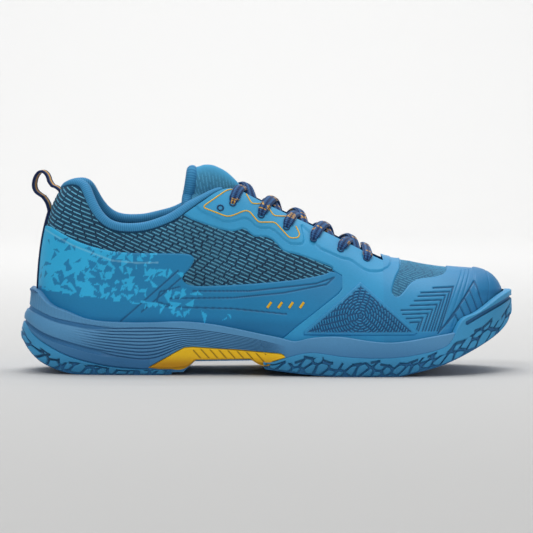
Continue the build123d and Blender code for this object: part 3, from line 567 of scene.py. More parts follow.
def quarter_film(side, tag):
    """The lower quarter's film, with the shattered print and the pressed lines."""
    w, v = side_grid(0.0 if side < 0 else 2.0, float(w_at(56, side)), 480, 230, 0.02, 0.86)
    p = surface(w, v)
    x, z = p[..., 0], p[..., 2]
    film = np.minimum(inside(x, z, LOWER), -inside(x, z, WINDOW))
    film = np.minimum(film, (edge_at(w) - v) * 100)
    relief = embossed(x, z)
    base = mix(DARK, srgb(34, 132, 186), step(x, -20, 45) * 0.6)
    # Painted shade: the film darker in its lowest band, just above the sole.
    base = mix(base, srgb(22, 108, 158), step(36 - z, 0, 6) * 0.6)
    # Painted shade in the pressed lines.
    base = mix(base, srgb(12, 70, 112), np.clip(-relief / 0.3, 0, 1) * 0.7)
    tint = mix(base, BRIGHT, shards(unrolled(w), z))
    # Painted highlight: a pale line along the heel's arc.
    tint = mix(tint, srgb(150, 215, 238), (1 - step(near(x, z, HEEL_HIGHLIGHT_LINE), 0.25, 0.6)) * 0.4)
    heel = ["heel_overlay"] if side < 0 else []
    finish_skin("quarter_film_" + tag, w, v, film, relief, tint, ["quarter_overlay_" + tag] + heel, 0.75)


def eyestay_film(side, tag):
    w1 = W_VAMP if side < 0 else W_VAMP_MEDIAL
    w, v = side_grid(float(w_at(-52, side)), w1, 330, 190)
    p = surface(w, v)
    x, z = p[..., 0], p[..., 2]
    film = np.minimum(inside(x, z, SPLIT), -inside(x, z, WINDOW))
    film = np.where(x > 45, np.maximum(film, 0.9), film)
    film = np.minimum(film, 2.0)
    stay = inside(x, z, STAY)
    relief = 0.55 * step(stay, -0.5, 0.4) + groove(np.abs(stay + 0.9), 0.5, 0.2)
    tint = mix(LIGHT, MID, step(x, 10, 60) * 0.5)
    tint = mix(tint, srgb(60, 158, 208), step(stay, -0.2, 0.2) * 0.4)
    finish_skin("eyestay_film_" + tag, w, v, film, relief, tint, ["eyestay_" + tag], 0.95)


def chevrons(x, z):
    """Two nested sets of angled grooves on the forefoot's side, and three lines across them."""
    relief = np.zeros(x.shape)
    for x0, z0, left in CHEVRON_TIPS:
        relief += groove(near(x, z, [(left, z0 - 0.4), (x0, z0), (x0 - (z0 - 27) * 0.36, 27)]), 0.62, 0.7)
    for k in range(5):
        x0, z0 = 125.3 - k * 3.1, 54.8 - k * 4.6
        left, right = (x0 - 12.5 + k * 0.5, z0 - 17 + k * 1.5), (x0 + 5.5, z0 - 15.5 + k * 1.2)
        relief += groove(near(x, z, [left, (x0, z0), right]), 0.62, 0.6)
    for k in range(3):
        relief += groove(near(x, z, [(118.5 + 2.4 * k, 60.5), (104.5 + 3.2 * k, 29)]), 0.55, 0.3)
    return np.maximum(relief, -0.75)


def throat_dip(x, t):
    """The vamp sinks towards the end of the throat."""
    return 2.6 * (1 - step(x, 69.5, 88)) * step(t, 0.66, 0.97)


def upper_front():
    """The vamp's mesh, and the forefoot film with its angled grooves and toe cap."""
    w, t = side_grid(W_VAMP, W_VAMP_MEDIAL, 420, 200, 0.02, 1.0)
    p = surface(w, t)
    x, z = p[..., 0], p[..., 2]
    window = inside(x, z, rounded(VAMP_WINDOW, 1))
    tint, relief = weave_colour(x, t * 82)
    tint = mix(tint, srgb(62, 138, 178), np.full(x.shape, 0.42))
    grid_mesh("vamp_mesh", wall(w, t, relief - 0.12 - throat_dip(x, t)), "shoe", ["vamp_mesh"], M["mesh"],
              mix(tint, srgb(48, 116, 160), np.full(x.shape, 0.25)), window > -3.5)
    angled = chevrons(x, z)
    relief = angled * (t < 0.9) + 0.7 * step(x, 125.4, 126.4) * step(z, 46, 50)
    relief += groove(np.abs(np.hypot(x - 118, (z - 52) * 0.6) - 16), 0.5, 0.2) * (x > 126)
    relief += 0.55 * step(inside(x, z, STAY), -0.5, 0.4) * (x < 78) - throat_dip(x, t)
    tint = mix(srgb(50, 146, 198), srgb(34, 122, 176), step(x, 92, 135))
    # Painted shade in the angled grooves.
    tint = mix(tint, srgb(14, 72, 116), step(-angled, 0.25, 0.65) * 0.75)
    finish_skin("forefoot_film", w, t, np.minimum(-window, 2.0), relief, tint,
                ["forefoot_overlay", "toe_puff"], 0.95)


def triangle_panel(side, tag):
    """The raised triangle with rings of short arcs."""
    pitch = 1.55
    w, v = side_grid(float(w_at(14, side)), float(w_at(98, side)), 260, 130, 0.03, 0.56)
    p = surface(w, v)
    dx, dz = p[..., 0] - TRIANGLE_CENTRE[0], p[..., 2] - TRIANGLE_CENTRE[1]
    film = inside(p[..., 0], p[..., 2], TRIANGLE)
    r = np.hypot(dx, dz)
    ring = np.floor(r / pitch)
    count = np.maximum(5, np.round(ring * 3.1))
    arc = 0.5 + 0.5 * np.cos(np.arctan2(dz, dx) * count + ring * 2.4)
    nub = step(0.5 + 0.5 * wave(r / pitch - ring - 0.5, 1), 0.35, 0.8) * step(arc, 0.08, 0.3)
    border = step(film, 1.6, 2.2)
    relief = 0.75 * nub * border + 0.35 * (1 - border)
    tint = mix(srgb(20, 84, 130), srgb(48, 142, 194), np.maximum(nub, 1 - border))
    finish_skin("forefoot_panel_" + tag, w, v, film, relief, tint, ["forefoot_panel_" + tag], 0.45, 0.85)


def stripe(name, path, width, lift, side=-1, replaces=()):
    """A raised yellow line along a side-view path."""
    p = [np.array(path[0], float)]
    for a, b in zip(np.array(path[:-1], float), np.array(path[1:], float)):
        count = max(1, int(np.linalg.norm(b - a) / 0.9))
        p += [a + (b - a) * k / count for k in range(1, count + 1)]
    p = np.array(p)
    for _ in range(3):
        p[1:-1] = (p[:-2] + p[1:-1] * 2 + p[2:]) / 4
    spots = np.array([locate(*q) for q in p])
    if side > 0:
        spots[:, 0] = w_at(foot(spots[:, 0])[0], 1)
    centre = wall(spots[:, 0], spots[:, 1], lift)
    up = normal(spots[:, 0], spots[:, 1])
    across = np.cross(unit(np.gradient(centre, axis=0)), up)
    section = [(-1, -0.5), (-0.9, 0.5), (-0.4, 1), (0.4, 1), (0.9, 0.5), (1, -0.5)]
    points = np.stack([centre + across * (c * width / 2) + up * (h * 0.3) for c, h in section], 1)
    grid_mesh(name, points, "shoe", replaces, M["yellow"])


for side, tag in SIDES:
    quarter_mesh(side, tag)
    quarter_film(side, tag)
    eyestay_film(side, tag)
    triangle_panel(side, tag)
upper_front()
stripe("eyestay_line_a", YELLOW, 0.75, 1.62)
stripe("eyestay_line_b", YELLOW_UP, 0.75, 1.62)
stripe("eyestay_line_c", YELLOW, 0.75, 1.62, side=1)
for k in range(4):
    x = 0.5 + 6.5 * k
    stripe("side_dash_%d" % k, [(x + 0.1, 40.6), (x + 2.5, 44.0)], 1.5, 1.0,
           replaces=["side_dashes"] if k == 0 else ())


# ---- Sole ----
def outward(w):
    """The footprint's outward direction in plan."""
    (xa, ya), (xb, yb) = foot(w - 1e-3), foot(w + 1e-3)
    run = np.hypot(xb - xa, yb - ya)
    return (yb - ya) / run, (xa - xb) / run


def sole_point(w, z, extra):
    """A point on the sole's side at height z, extra outside the CAD's surface."""
    x, y = foot(w)
    nx, ny = outward(w)
    heel = np.clip((-105 - x) / 34, 0, 1)**2
    grow = sole_side(z) + (sole_back(z) - sole_side(z)) * heel + extra
    return np.stack([x + nx * grow, y + ny * grow, z], -1)


def sole_skin(name, low, high, relief_of, colour_of, mat, rows, lip, keep_x):
    """The sole's side between two lines, with relief, tucked in at its edges or rolled over a lip."""
    w, t = np.meshgrid(np.linspace(0, 2, 1300, endpoint=False), np.linspace(0, 1, rows), indexing="ij")
    x = foot(w)[0]
    for _ in range(3):
        z = low(x) + (high(x) - low(x)) * t
        x = sole_point(w, z, 0.0)[..., 0]
    tall = high(x) - low(x)
    z = low(x) + tall * t
    top_edge = 1 if lip else step(tall * (1 - t), -0.1, 0.9)
    extra = -0.7 + 1.6 * step(tall * t, -0.1, 0.9) * top_edge + relief_of(x, z, w)
    p = sole_point(w, z, extra)
    if lip:
        ends = [sole_point(w[:, -1], z[:, -1] + up, extra[:, -1] - back)
                for back, up in ((0.8, 0.35), (2.2, 0.4), (4.6, 0.1))]
        p = np.concatenate([p, np.stack(ends, 1)], 1)
        x, z, w = (np.concatenate([grid] + [grid[:, -1:]] * 3, 1) for grid in (x, z, w))
    is_open = np.repeat((high(x) - low(x))[:, :1] > 0.4, x.shape[1], 1)
    keep = is_open & (x > keep_x[0]) & (x < keep_x[1])
    grid_mesh(name, p, "shoe", (), mat, colour_of(x, z, w), keep, loop=True)


def midsole_low(x):
    return np.where(x < -71, heel_top(x), np.where(x < 11, shank_top(x), toe_top(x))) - 0.4


def midsole_lines(x, z):
    """The share between the two creases, and the strength of the fine grooves there."""
    q = (z - crease_low(x)) / np.maximum(crease_high(x) - crease_low(x), 0.5)
    fade = step(x, -122, -92) * (1 - step(x, -4, 15))
    lines = np.where((q > -0.04) & (q < 1.04), step(wave(q, 1 / 9), 0.1, 0.9) * fade, 0)
    return q, lines


def midsole_relief(x, z, w):
    q, lines = midsole_lines(x, z)
    heel = 1 - step(x, -112, -88)
    creases = groove(np.abs(z - crease_high(x)), 1.5, 2.2) + groove(np.abs(z - crease_low(x)), 1.8, 2.2)
    swell = 1.3 * np.sin(np.clip(q, 0, 1) * math.pi)
    ribs = 0.5 + 0.5 * wave(w * 300, 1.9)
    band = (z > crease_high(x) + 1.2) * step(-x, 84, 100)
    return -0.75 * lines + (creases + swell) * heel - 0.3 * ribs * band


def midsole_tint(x, z, w):
    q, lines = midsole_lines(x, z)
    # Painted shade: the foam darker towards the floor and lighter higher up.
    tint = mix(srgb(58, 120, 170), srgb(86, 148, 194), step(z, 6, 26))
    # Painted shade in the fine grooves.
    tint = mix(tint, srgb(26, 80, 128), lines * 0.85)
    # Painted shade in the two creases at the heel.
    crease = np.minimum(np.abs(z - crease_high(x)), np.abs(z - crease_low(x)))
    tint = mix(tint, srgb(22, 72, 118), (1 - step(crease, 0.2, 1.6)) * (1 - step(x, -112, -88)) * 0.8)
    # Painted shade in the hollow band below the lower crease at the heel.
    return mix(tint, srgb(44, 104, 154), (q < 0) * (x < -70) * 0.5)


def cracks(x, z, size):
    """Distance to the edges of irregular angular cells."""
    i, j = np.floor(x / size), np.floor(z / size)
    first, second = np.full(x.shape, 9.0), np.full(x.shape, 9.0)
    for di in (-1, 0, 1):
        for dj in (-1, 0, 1):
            ci, cj = i + di, j + dj
            centre_x = ci + 0.5 + 0.42 * np.sin(ci * 12.9 + cj * 78.2)
            centre_z = cj + 0.5 + 0.42 * np.sin(ci * 39.3 + cj * 11.1 + 2)
            d = np.hypot(x / size - centre_x, z / size - centre_z)
            second = np.minimum(second, np.maximum(first, d))
            first = np.minimum(first, d)
    return (second - first) * size / 2


def tread_relief(x, z, top):
    """Lugs of broken shape along the outsole's side, under a jagged upper edge."""
    height = z - ground(x)
    share = height / np.maximum(top - ground(x), 1)
    jag = 0.66 + 0.2 * np.abs(np.mod(x / 11.3, 1) - 0.4) + 0.1 * np.sin(np.floor(x / 11.3) * 4.1)
    notch = groove(cracks(x - 0.55 * height, height + 0.4, 6.2), 0.85, 1.3)
    notch *= 1 - step(share, jag - 0.05, jag + 0.05)
    notch += groove(np.abs(share - jag) * 6, 0.6, 0.9) * (np.sin(np.floor(x / 5.65) * 2.3) > -0.3)
    return np.maximum(notch, -1.3) * step(share, -0.02, 0.05)


def rubber_tint(relief, z):
    # Painted shade: the rubber darker towards the floor.
    tint = mix(srgb(52, 134, 182), srgb(62, 152, 202), step(z, 2, 16))
    # Painted shade in the lugs' notches and grooves.
    return mix(tint, srgb(14, 52, 88), np.clip(-relief / 1.1, 0, 1) * 0.85)


def heel_relief(x, z, w):
    return tread_relief(x, z, np.minimum(heel_top(x), ground(x) + 10)) + 0.3


def heel_tint(x, z, w):
    return rubber_tint(heel_relief(x, z, w) - 0.3, z)


def toe_relief(x, z, w):
    wrap = tread_relief(x, z, np.minimum(toe_top(x), ground(x) + 13.5))
    return wrap + groove(near(x, z, TOE_SLOT), 1.4, 2.0) * (x > 118) + 0.3


def toe_tint(x, z, w):
    tint = rubber_tint(toe_relief(x, z, w) - 0.3, z)
    # Painted shade in the toe slot.
    return mix(tint, srgb(8, 22, 40), (1 - step(near(x, z, TOE_SLOT), 0.5, 1.3)) * (x > 118))


def plate_relief(x, z, w):
    """Slanted lines across the plate's middle."""
    share = (z - shank_low(x)) / np.maximum(shank_top(x) - shank_low(x), 1)
    slant = (x + (z - 10) * 0.9) / 5.2
    middle = (x > -44) * (x < 0) * step(share, 0.08, 0.2) * (1 - step(share, 0.8, 0.95))
    return groove(np.abs(np.mod(slant, 1) - 0.5) * 5.2, 0.55, 0.7) * middle + 0.35


def plate_tint(x, z, w):
    # Painted shade: the plate darker towards its lower edge under the arch.
    tint = mix(srgb(200, 142, 8), srgb(246, 196, 20), step(z, 6, 13))
    # Painted shade in the slanted grooves.
    return mix(tint, srgb(120, 88, 22), np.clip(-(plate_relief(x, z, w) - 0.35) / 0.7, 0, 1) * 0.8)


def ground_edge(x):
    return ground(x) + 0.25


FOAM, RUBBER, PLATE = M["foam"], M["rubber"], M["plate"]
sole_skin("midsole_side", midsole_low, rim_top, midsole_relief, midsole_tint, FOAM, 90, True, (-200, 113))
sole_skin("outsole_heel_side", ground_edge, heel_top, heel_relief, heel_tint, RUBBER, 60, False,
          (-200, -56.5))
sole_skin("outsole_forefoot_side", ground_edge, toe_top, toe_relief, toe_tint, RUBBER, 100, True, (-1.5, 200))
sole_skin("shank_side", shank_low, shank_top, plate_relief, plate_tint, PLATE, 50, False, (-71, 12.5))


# ---- Collar, tongue, lining ----
def tube(name, centre, up, half_w, half_h, mat, body="shoe", replaces=(), around=24, relief=None, tint=None,
         closed_ends=True):
    """A flattened cord along centre, wide across and thin along up."""
    run = unit(np.gradient(centre, axis=0))
    up = unit(up - run * (up * run).sum(1, keepdims=True))
    across = np.cross(run, up)
    angle = np.linspace(0, 2 * math.pi, around, endpoint=False)
    s, a = np.meshgrid(arc_length(centre), angle, indexing="ij")
    swell = 1 + (relief(s, a) if relief else 0)
    half_w, half_h = (np.broadcast_to(half, len(centre))[:, None] for half in (half_w, half_h))
    wide = across[:, None] * (np.cos(a) * half_w * swell)[..., None]
    p = centre[:, None] + wide + up[:, None] * (np.sin(a) * half_h * swell)[..., None]
    if closed_ends:
        first, last = (np.repeat(centre[k, None, None], around, 1) for k in (0, -1))
        p = np.concatenate([first, p, last])
        s = np.concatenate([s[:1], s, s[-1:]])
        a = np.concatenate([a[:1], a, a[-1:]])
    colour = tint(s.T, a.T) if tint else None
    return grid_mesh(name, np.transpose(p, (1, 0, 2)), body, replaces, mat, colour, loop=True)


RIB = 1.25       # pitch of the rib knit
SEAM_AT = 5.55   # where round the collar roll its seam lies, in radians


def roll_relief(s, a):
    return 0.02 * np.cos(s * 2 * math.pi / RIB + 2 * np.sin(a)) - 0.09 * np.exp(-((a - SEAM_AT) / 0.13)**2)


def roll_tint(s, a):
    rib = 0.5 + 0.5 * np.cos(s * 2 * math.pi / RIB + 2 * np.sin(a))
    tint = mix(srgb(40, 120, 172), srgb(68, 152, 200), rib)
    return mix(tint, srgb(12, 56, 94), np.exp(-((a - SEAM_AT) / 0.15)**2))


def collar_roll():
    """The rolled edge round the ankle, tapered where it meets the eyestay."""
    end = W_COLLAR + 0.012
    w = np.linspace(-end, end, 700)
    v = edge_at(w)
    lift = unit(wall(w, v + 0.02, -3.0) - wall(w, v, -3.0))
    taper = np.minimum(1, 0.55 + 8 * (end - np.abs(w)))
    roll = tube("collar_roll", wall(w, v, -3.0) + lift * 3.1, lift, 3.7 * taper, 3.5 * taper, M["roll"],
                replaces=["collar_roll"], around=40, relief=roll_relief, tint=roll_tint)


def tongue_points(depth, back=-43.0, rows=150):
    """The tongue's face at depth below its outer one, with its grids of x and of c, -1 to 1 across."""
    front = 72.5
    s, c = np.meshgrid(np.linspace(0, 1, 220), np.linspace(-1, 1, rows), indexing="ij")
    x = front + (back - np.abs(c)**1.5 - front) * s
    middle = -4.8 + 8.3 * step(-x, 2, 40) - 0.5 * step(x, 60, 72)
    middle = middle + 3.2 * step(-x, 8, 28) * (1 - 0.8 * step(-x, 32, 46)) - 0.8 * step(s, 0.96, 1.0)
    edge_depth = -6.5 - 4.5 * step(-x, 12, 32)
    top = middle + (edge_depth - middle) * step(np.abs(c), 0.08, 0.55)
    w = np.where(c < 0, w_at(x, -1), w_at(x, 1))
    return wall(w, 1 - 0.4 * np.abs(c), top - depth), x, c


def tongue():
    """The tongue's padded shell and its rolled edge."""
    _, x, c = tongue_points(0)
    tint, relief = weave_colour(c * 46, x * 1.1)
    knit = step(np.abs(c), 0.16, 0.3)
    tint = mix(srgb(70, 160, 206), mix(tint, srgb(86, 172, 214), np.full(x.shape, 0.6)), knit)
    shell = grid_mesh("tongue_shell", tongue_points(-0.15 - relief * knit)[0], "tongue",
                      ["tongue_shell", "tongue_padding"], M["roll"], tint)
    face = tongue_points(2.6, -45.5, 260)[0]
    binding = tube("tongue_binding", face[-1], np.gradient(face, axis=0)[-1], 3.6, 3.4, M["roll"], "tongue",
                   ["tongue_binding"], 32, lambda s, a: 0.02 * wave(s, RIB),
                   lambda s, a: mix(srgb(40, 118, 168), srgb(68, 150, 198), 0.5 + 0.5 * wave(s, RIB)))


collar_roll()
tongue()


# ---- Inside ----
def pad_low(w):
    return edge_at(w) - 0.16 + 0.06 * step(lateral(w), 0.2, 0.37)


def pad_depth(w, share):
    """The collar pad's crowned inner face."""
    full = 5.5 - 3.4 * step(lateral(w), 0.24, 0.37)
    return -2.6 - full * (0.45 + 0.55 * np.sin(np.pi * np.clip(0.15 + 0.8 * share, 0, 1)))


def heel_depth(w, share):
    return -2.4 - 1.6 * (1 - step(lateral(w), 0.2, 0.3)) - 1.3 * step(share, 0.9, 1.0)


def vamp_depth(w, share):
    return -2.1 - throat_dip(surface(w, share)[..., 0], share)


def spacer_knit(a, b):
    """Relief and tint of a knit lining: small cells in staggered rows."""
    cell = wave(a, 2.2) * wave(b, 1.5)
    return 0.22 * step(cell, -0.3, 0.6), mix(srgb(18, 72, 116), srgb(44, 120, 170), step(cell, -0.4, 0.5))


def lining(name, w0, w1, low, high, depth, replaces, columns=300):
    """A knit lining between two lines of v, at depth(w, share) inside the upper."""
    w, share = np.meshgrid(np.linspace(w0, w1, columns), np.linspace(0, 1, 70), indexing="ij")
    v = low(w) + (high(w) - low(w)) * share
    relief, tint = spacer_knit(w * 300, v * 85)
    return grid_mesh(name, wall(w, v, depth(w, share) - relief), "shoe", replaces, M["mesh"], tint)


def linings():
    def floor_v(w):
        return np.full(w.shape, 0.012)

    def under_edge(w):
        return edge_at(w) - 0.004

    def quarter_depth(w, share):
        return np.full(w.shape, -2.3)

    collar = lining("collar_lining", -W_COLLAR, W_COLLAR, pad_low, lambda w: edge_at(w) + 0.002, pad_depth,
                    ["collar_lining", "collar_padding"], 700)
    lining("heel_lining", -W_COLLAR, W_COLLAR, floor_v, lambda w: pad_low(w) + 0.004, heel_depth,
           ["heel_lining"], 700)
    lining("quarter_lining_lateral", W_COLLAR, W_VAMP, floor_v, under_edge, quarter_depth,
           ["quarter_lining_lateral"])
    lining("quarter_lining_medial", W_VAMP_MEDIAL, float(mirror_w(W_COLLAR)), floor_v, under_edge,
           quarter_depth, ["quarter_lining_medial"])
    lining("vamp_lining", W_VAMP, W_VAMP_MEDIAL, floor_v, lambda w: np.ones(w.shape), vamp_depth,
           ["vamp_lining"])
    _, x, c = tongue_points(0)
    relief, tint = spacer_knit(x, c * 30)
    grid_mesh("tongue_lining", tongue_points(5.4 + relief)[0], "tongue", ["tongue_lining"], M["mesh"], tint)


def sockliner():
    """A crowned insole with dimples under the forefoot."""
    w, q = np.meshgrid(np.linspace(0, 2, 500, endpoint=False), np.linspace(0, 1, 110), indexing="ij")
    x, y = foot(w)
    nx, ny = outward(w)
    x, y = x - 5.2 * nx, y - 5.2 * ny
    into = step(q, 0.12, 1.0) * 0.6 + 0.4 * np.clip((q - 0.12) / 0.88, 0, 1)
    middle_x = np.clip(x, -104, 104)
    x, y = x + (middle_x - x) * into, y + (spine_y(middle_x) - y) * into
    top = SOCKLINER * step(q, 0.0, 0.09) - 0.5 * (1 - step(q, 0.06, 0.14))
    dimple = (wave(x, 6) * wave(y, 6) > 0.82) & (x > 20) & (x < 112) & (q > 0.2)
    relief, tint = spacer_knit(x, y)
    z = bed(x) + BOARD + 0.4 + np.maximum(top, 0) + (0.35 * relief - 0.8 * dimple) * (q > 0.1)
    # Painted shade in the dimples.
    tint = mix(tint * 1.1, srgb(10, 40, 72), dimple * 0.8)
    points = np.stack([x, y, z], -1)
    sock = grid_mesh("sockliner", points, "sockliner", ["sockliner"], M["mesh"], tint, loop=True)


linings()
sockliner()


# ---- Lace ----
spots = [coarse(x, z) for x, z in EYELETS]
spot_x = [float(foot(w)[0]) for w, _ in spots]
TOP, LOW = 2.9, -3.95   # the lace's depth over and under the eyestay
BRAID = 2.3             # pitch of its braid


def spot(i, side, dv, depth, dx=0.0):
    """A point near eyelet i, and the surface's normal there."""
    q, v = w_at(spot_x[i] + dx, side), min(spots[i][1] + dv, 1.0)
    return wall(q, v, depth), normal(q, v)


def rim_spot(i, side, dx, dv, depth):
    """A point by the throat's edge next to eyelet i."""
    q = w_at(spot_x[i] + dx, side)
    return wall(q, edge_at(q) + dv, depth), normal(q, edge_at(q) + dv)


def ridge_spot(x, depth):
    q = w_at(x, 1)
    return wall(q, 1.0, depth), normal(q, 1.0)


def strand(side):
    """The knots of one half of the lace, from the lowest eyelet up, crossing at each pair."""
    knots = [rim_spot(6, side, 0.5, -0.01, TOP), spot(6, side, 0, TOP), spot(6, side, 0, LOW)]
    for i in range(6, 1, -1):
        high = 1.6 if (side < 0) == (i % 2 == 0) else -1.2
        knots += [rim_spot(i, side, -3, -0.01, LOW), rim_spot(i, side, -4.5, 0.07, -1.8)]
        knots += [ridge_spot((spot_x[i] + spot_x[i - 1]) / 2, high)]
        knots += [rim_spot(i - 1, -side, 3, 0.0, TOP + 0.3), spot(i - 1, -side, 0.012, TOP)]
        knots += [spot(i - 1, -side, -0.01, LOW)]
        side = -side
    return knots + [spot(1, side, -0.1, LOW - 0.4, 1.5), spot(1, side, -0.2, LOW - 1.4, 3)]


def steady_up(run, ups):
    """Up directions without a sudden turn, held where the lace runs along them."""
    across = np.cross(run, ups)
    for i in range(1, len(across)):
        size = np.linalg.norm(across[i])
        across[i] = across[i] / size if size > 0.45 else across[i - 1]
        if (across[i] * across[i - 1]).sum() < 0:
            across[i] = -across[i]
    kernel = np.ones(11) / 11
    across = np.stack([np.convolve(column, kernel, "same") for column in across.T], -1)
    return np.cross(across, run)


flecks = rng.random(4000)


def braid(s, a):
    return np.cos(s * 2 * math.pi / BRAID + 3 * a) * np.cos(s * 2 * math.pi / BRAID - 3 * a)


def braid_tint(s, a):
    """Two blues, with gold flecks in short zones."""
    cross = braid(s, a)
    tint = mix(srgb(10, 38, 84), srgb(62, 118, 176), step(cross, -0.3, 0.8))
    cell = (np.floor(s / 1.15) * 6 + np.floor(np.mod(a, 6.283) / 1.047)).astype(int) % len(flecks)
    gold = (flecks[cell] < 0.34) & (np.mod(s, 17) < 5.5) & (cross > 0.0)
    return np.where(gold[..., None], srgb(240, 184, 60), tint)


def lace():
    knots = strand(-1)[::-1] + [ridge_spot(EYELETS[6][0], 0.6)] + strand(1)
    centre, ups = (np.array(column) for column in zip(*knots))
    for _ in range(3):
        centre, ups = corner_cut(centre), corner_cut(ups)
    length = arc_length(centre)
    even = np.linspace(0, length[-1], int(length[-1] / 0.45))
    centre, ups = resample(centre, length, even), resample(ups, length, even)
    run = unit(np.gradient(centre, axis=0))
    steep = np.abs((run * ups).sum(1))
    flat = np.convolve(1 - step(steep, 0.35, 0.8), np.ones(9) / 9, "same")
    tube("lace", centre, steady_up(run, ups), 1.6 + 1.35 * flat, 1.35 - 0.1 * flat, M["lace"],
         replaces=["lace"], around=28, relief=lambda s, a: 0.075 * braid(s, a) + 0.03, tint=braid_tint)


def ring_tint(s, a):
    return np.broadcast_to(srgb(14, 66, 110), s.shape + (3,))


def eyelet(i, side, tag):
    """A raised ring, and in it a dark disc painted as the hole's shadow."""
    q, v = w_at(spot_x[i], side), spots[i][1]
    n, middle = normal(q, v), wall(q, v, 1.62)
    t1 = np.cross(n, [0, 0, 1.0])
    t1 /= np.linalg.norm(t1)
    angle = np.linspace(0, 2 * math.pi, 25)[:, None]
    spoke = np.cos(angle) * t1 + np.sin(angle) * np.cross(n, t1)
    tube("eyelet_%s_%d" % (tag, i), middle + 1.75 * spoke, np.repeat(n[None], 25, 0), 0.5, 0.5, M["film"],
         around=8, tint=ring_tint, closed_ends=False)
    # The hole is a dark disc: painted shadow.
    hole = [middle + r * spoke + n * h for r, h in ((1.6, 0.1), (1.5, -0.3), (0.01, -0.4))]
    grid_mesh("eyelet_hole_%s_%d" % (tag, i), np.stack(hole, 1), "shoe", (), M["dark"])


lace()
for side, tag in SIDES:
    for i in range(7):
        eyelet(i, side, tag)


# ---- Webbing ----
def ribbon(name, path, body, replaces=()):
    """Webbing along a side-view path: navy, with a yellow stripe and two thin blue ones."""
    wide, thick, lean = 5.5, 0.7, 0.8
    p = np.array(path, float)
    for _ in range(3):
        p = corner_cut(p)
    length = arc_length(p)
    even = np.linspace(0, length[-1], max(4, int(length[-1] / 0.5)))
    p = resample(p, length, even)
    run = unit(np.gradient(p, axis=0))
    side = np.stack([-run[:, 1], run[:, 0]], -1)
    face = [-1, -0.93] + list(np.linspace(-0.8, 0.8, 15)) + [0.93, 1]
    height = [-0.6] + [-1] * 17 + [-0.6]
    ring = list(zip(face, height)) + [(c, -h) for c, h in zip(face[::-1], height)]
    rows = []
    for c, h in ring:
        q = p + side * (h * thick)
        rows.append(np.stack([q[:, 0] + lean * c, np.full(len(q), c * wide), q[:, 1]], -1))
    grid, cs = np.array(rows), np.array([c for c, _ in ring])
    tint = np.broadcast_to(srgb(10, 34, 80), grid.shape).copy()
    tint[np.abs(cs) < 0.34] = srgb(236, 172, 40)
    tint[(np.abs(cs) > 0.5) & (np.abs(cs) < 0.66)] = srgb(40, 116, 172)
    twill = 0.82 + 0.3 * (wave(even[None] + cs[:, None] * 5.5, 1.1) > 0)
    grid_mesh(name, grid, body, replaces, M["tape"], tint * twill[..., None], loop=True)


def heel_tape():
    half = 0.0185
    v = np.linspace(coarse(-139, 44)[1], coarse(-131, 98)[1], 120)
    w, v = np.meshgrid(np.linspace(-half, half, 31), v, indexing="ij")
    rim = step(1 - np.abs(w) / half, 0, 0.12)
    tint = np.where((np.abs(w) < 0.0055)[..., None], srgb(220, 158, 36), srgb(10, 36, 80))
    tint = tint * (0.85 + 0.25 * (wave(v * 90 + w * 300, 1.1) > 0))[..., None]
    grid_mesh("heel_tape", wall(w, v, 0.3 + 1.3 * rim), "shoe", ["heel_tape"], M["tape"], tint)


ribbon("pull_loop", LOOP, "pull_loop", ["pull_loop"])
ribbon("loop_anchor_top", LOOP_TOP, "shoe", ["loop_anchors"])
ribbon("loop_anchor_foot", LOOP_FOOT, "shoe")
heel_tape()

# ---- CAD nodes that show as they are ----
SHOWN = {"outsole_heel": "rubber_cad", "outsole_forefoot": "rubber_cad", "midsole": "foam_cad",
         "shank_plate": "plate_cad", "heel_cushion": "inner", "forefoot_cushion": "inner",
         "lasting_board": "board", "heel_counter": "board", "aglets": "tip"}
for node, key in SHOWN.items():
    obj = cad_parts[node]
    obj.data.materials.clear()
    obj.data.materials.append(M[key])
    for poly in obj.data.polygons:
        poly.use_smooth = True


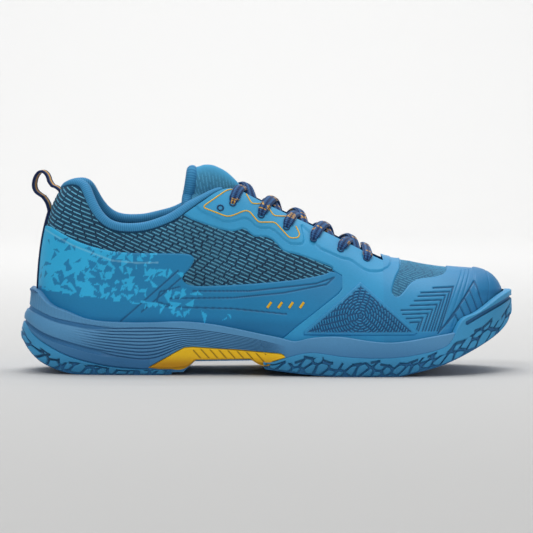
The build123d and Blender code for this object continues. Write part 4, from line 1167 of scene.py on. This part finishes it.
def backdrop():
    """A pale paper floor that curves up into a wall behind the shoe."""
    wall_y, radius, half_width = 2.6, 0.8, 4.0
    bend = [(wall_y - radius + radius * math.sin(t), radius - radius * math.cos(t))
            for t in np.linspace(0.1, math.pi / 2, 14)]
    curve = [(-9.0, 0.0), (wall_y - radius, 0.0)] + bend + [(wall_y, 4.0)]
    verts = [(side * half_width, y, z) for y, z in curve for side in (-1, 1)]
    faces = [(2 * i, 2 * i + 1, 2 * i + 3, 2 * i + 2) for i in range(len(curve) - 1)]
    mesh = bpy.data.meshes.new("floor")
    mesh.from_pydata(verts, [], faces)
    paper = bpy.data.materials.new("paper")
    paper.use_nodes = True
    shader = paper.node_tree.nodes["Principled BSDF"]
    shader.inputs["Base Color"].default_value = (0.60, 0.60, 0.60, 1)
    shader.inputs["Roughness"].default_value = 0.8
    shader.inputs["Specular IOR Level"].default_value = 0.15
    mesh.materials.append(paper)
    for poly in mesh.polygons:
        poly.use_smooth = True
    floor = bpy.data.objects.new("floor", mesh)
    bpy.context.scene.collection.objects.link(floor)


def area(name, place, target, size, power):
    """A rectangular soft light at place, turned to target."""
    data = bpy.data.lights.new(name, "AREA")
    data.shape = "RECTANGLE"
    data.size, data.size_y = size
    data.energy = power
    lamp = bpy.data.objects.new(name, data)
    lamp.location = place
    lamp.rotation_euler = (Vector(target) - Vector(place)).to_track_quat("-Z", "Y").to_euler()
    bpy.context.scene.collection.objects.link(lamp)


def sky():
    world = bpy.context.scene.world or bpy.data.worlds.new("world")
    bpy.context.scene.world = world
    world.use_nodes = True
    background = world.node_tree.nodes["Background"]
    background.inputs["Color"].default_value = (1, 1, 0.975, 1)
    background.inputs["Strength"].default_value = 0.30


def side_camera():
    """A long lens square to the lateral side, a little above it."""
    away, seen, tilt = 2.2, 0.325, math.radians(3.0)
    data = bpy.data.cameras.new("camera")
    data.sensor_width = 36
    data.lens = 36 * away / seen
    data.clip_start, data.clip_end = 0.1, 20
    camera = bpy.data.objects.new("camera", data)
    bpy.context.scene.collection.objects.link(camera)
    target = Vector((0, 0, 0.0634))
    camera.location = target + Vector((0, -math.cos(tilt), math.sin(tilt))) * away
    camera.rotation_euler = (target - camera.location).to_track_quat("-Z", "Y").to_euler()
    bpy.context.scene.camera = camera


backdrop()
area("key", (-0.5, -1.2, 1.5), (0, 0, 0.05), (1.0, 0.8), 12)
area("top", (0.1, 0.35, 1.5), (0, 0.05, 0.05), (1.4, 0.8), 14)
area("fill", (1.3, -1.0, 0.5), (0, 0, 0.06), (0.8, 0.8), 3)
area("back", (0.0, 1.3, 1.6), (0, 2.4, 0.3), (2.6, 0.5), 40)
sky()
side_camera()
bpy.context.scene.view_settings.view_transform = "Standard"
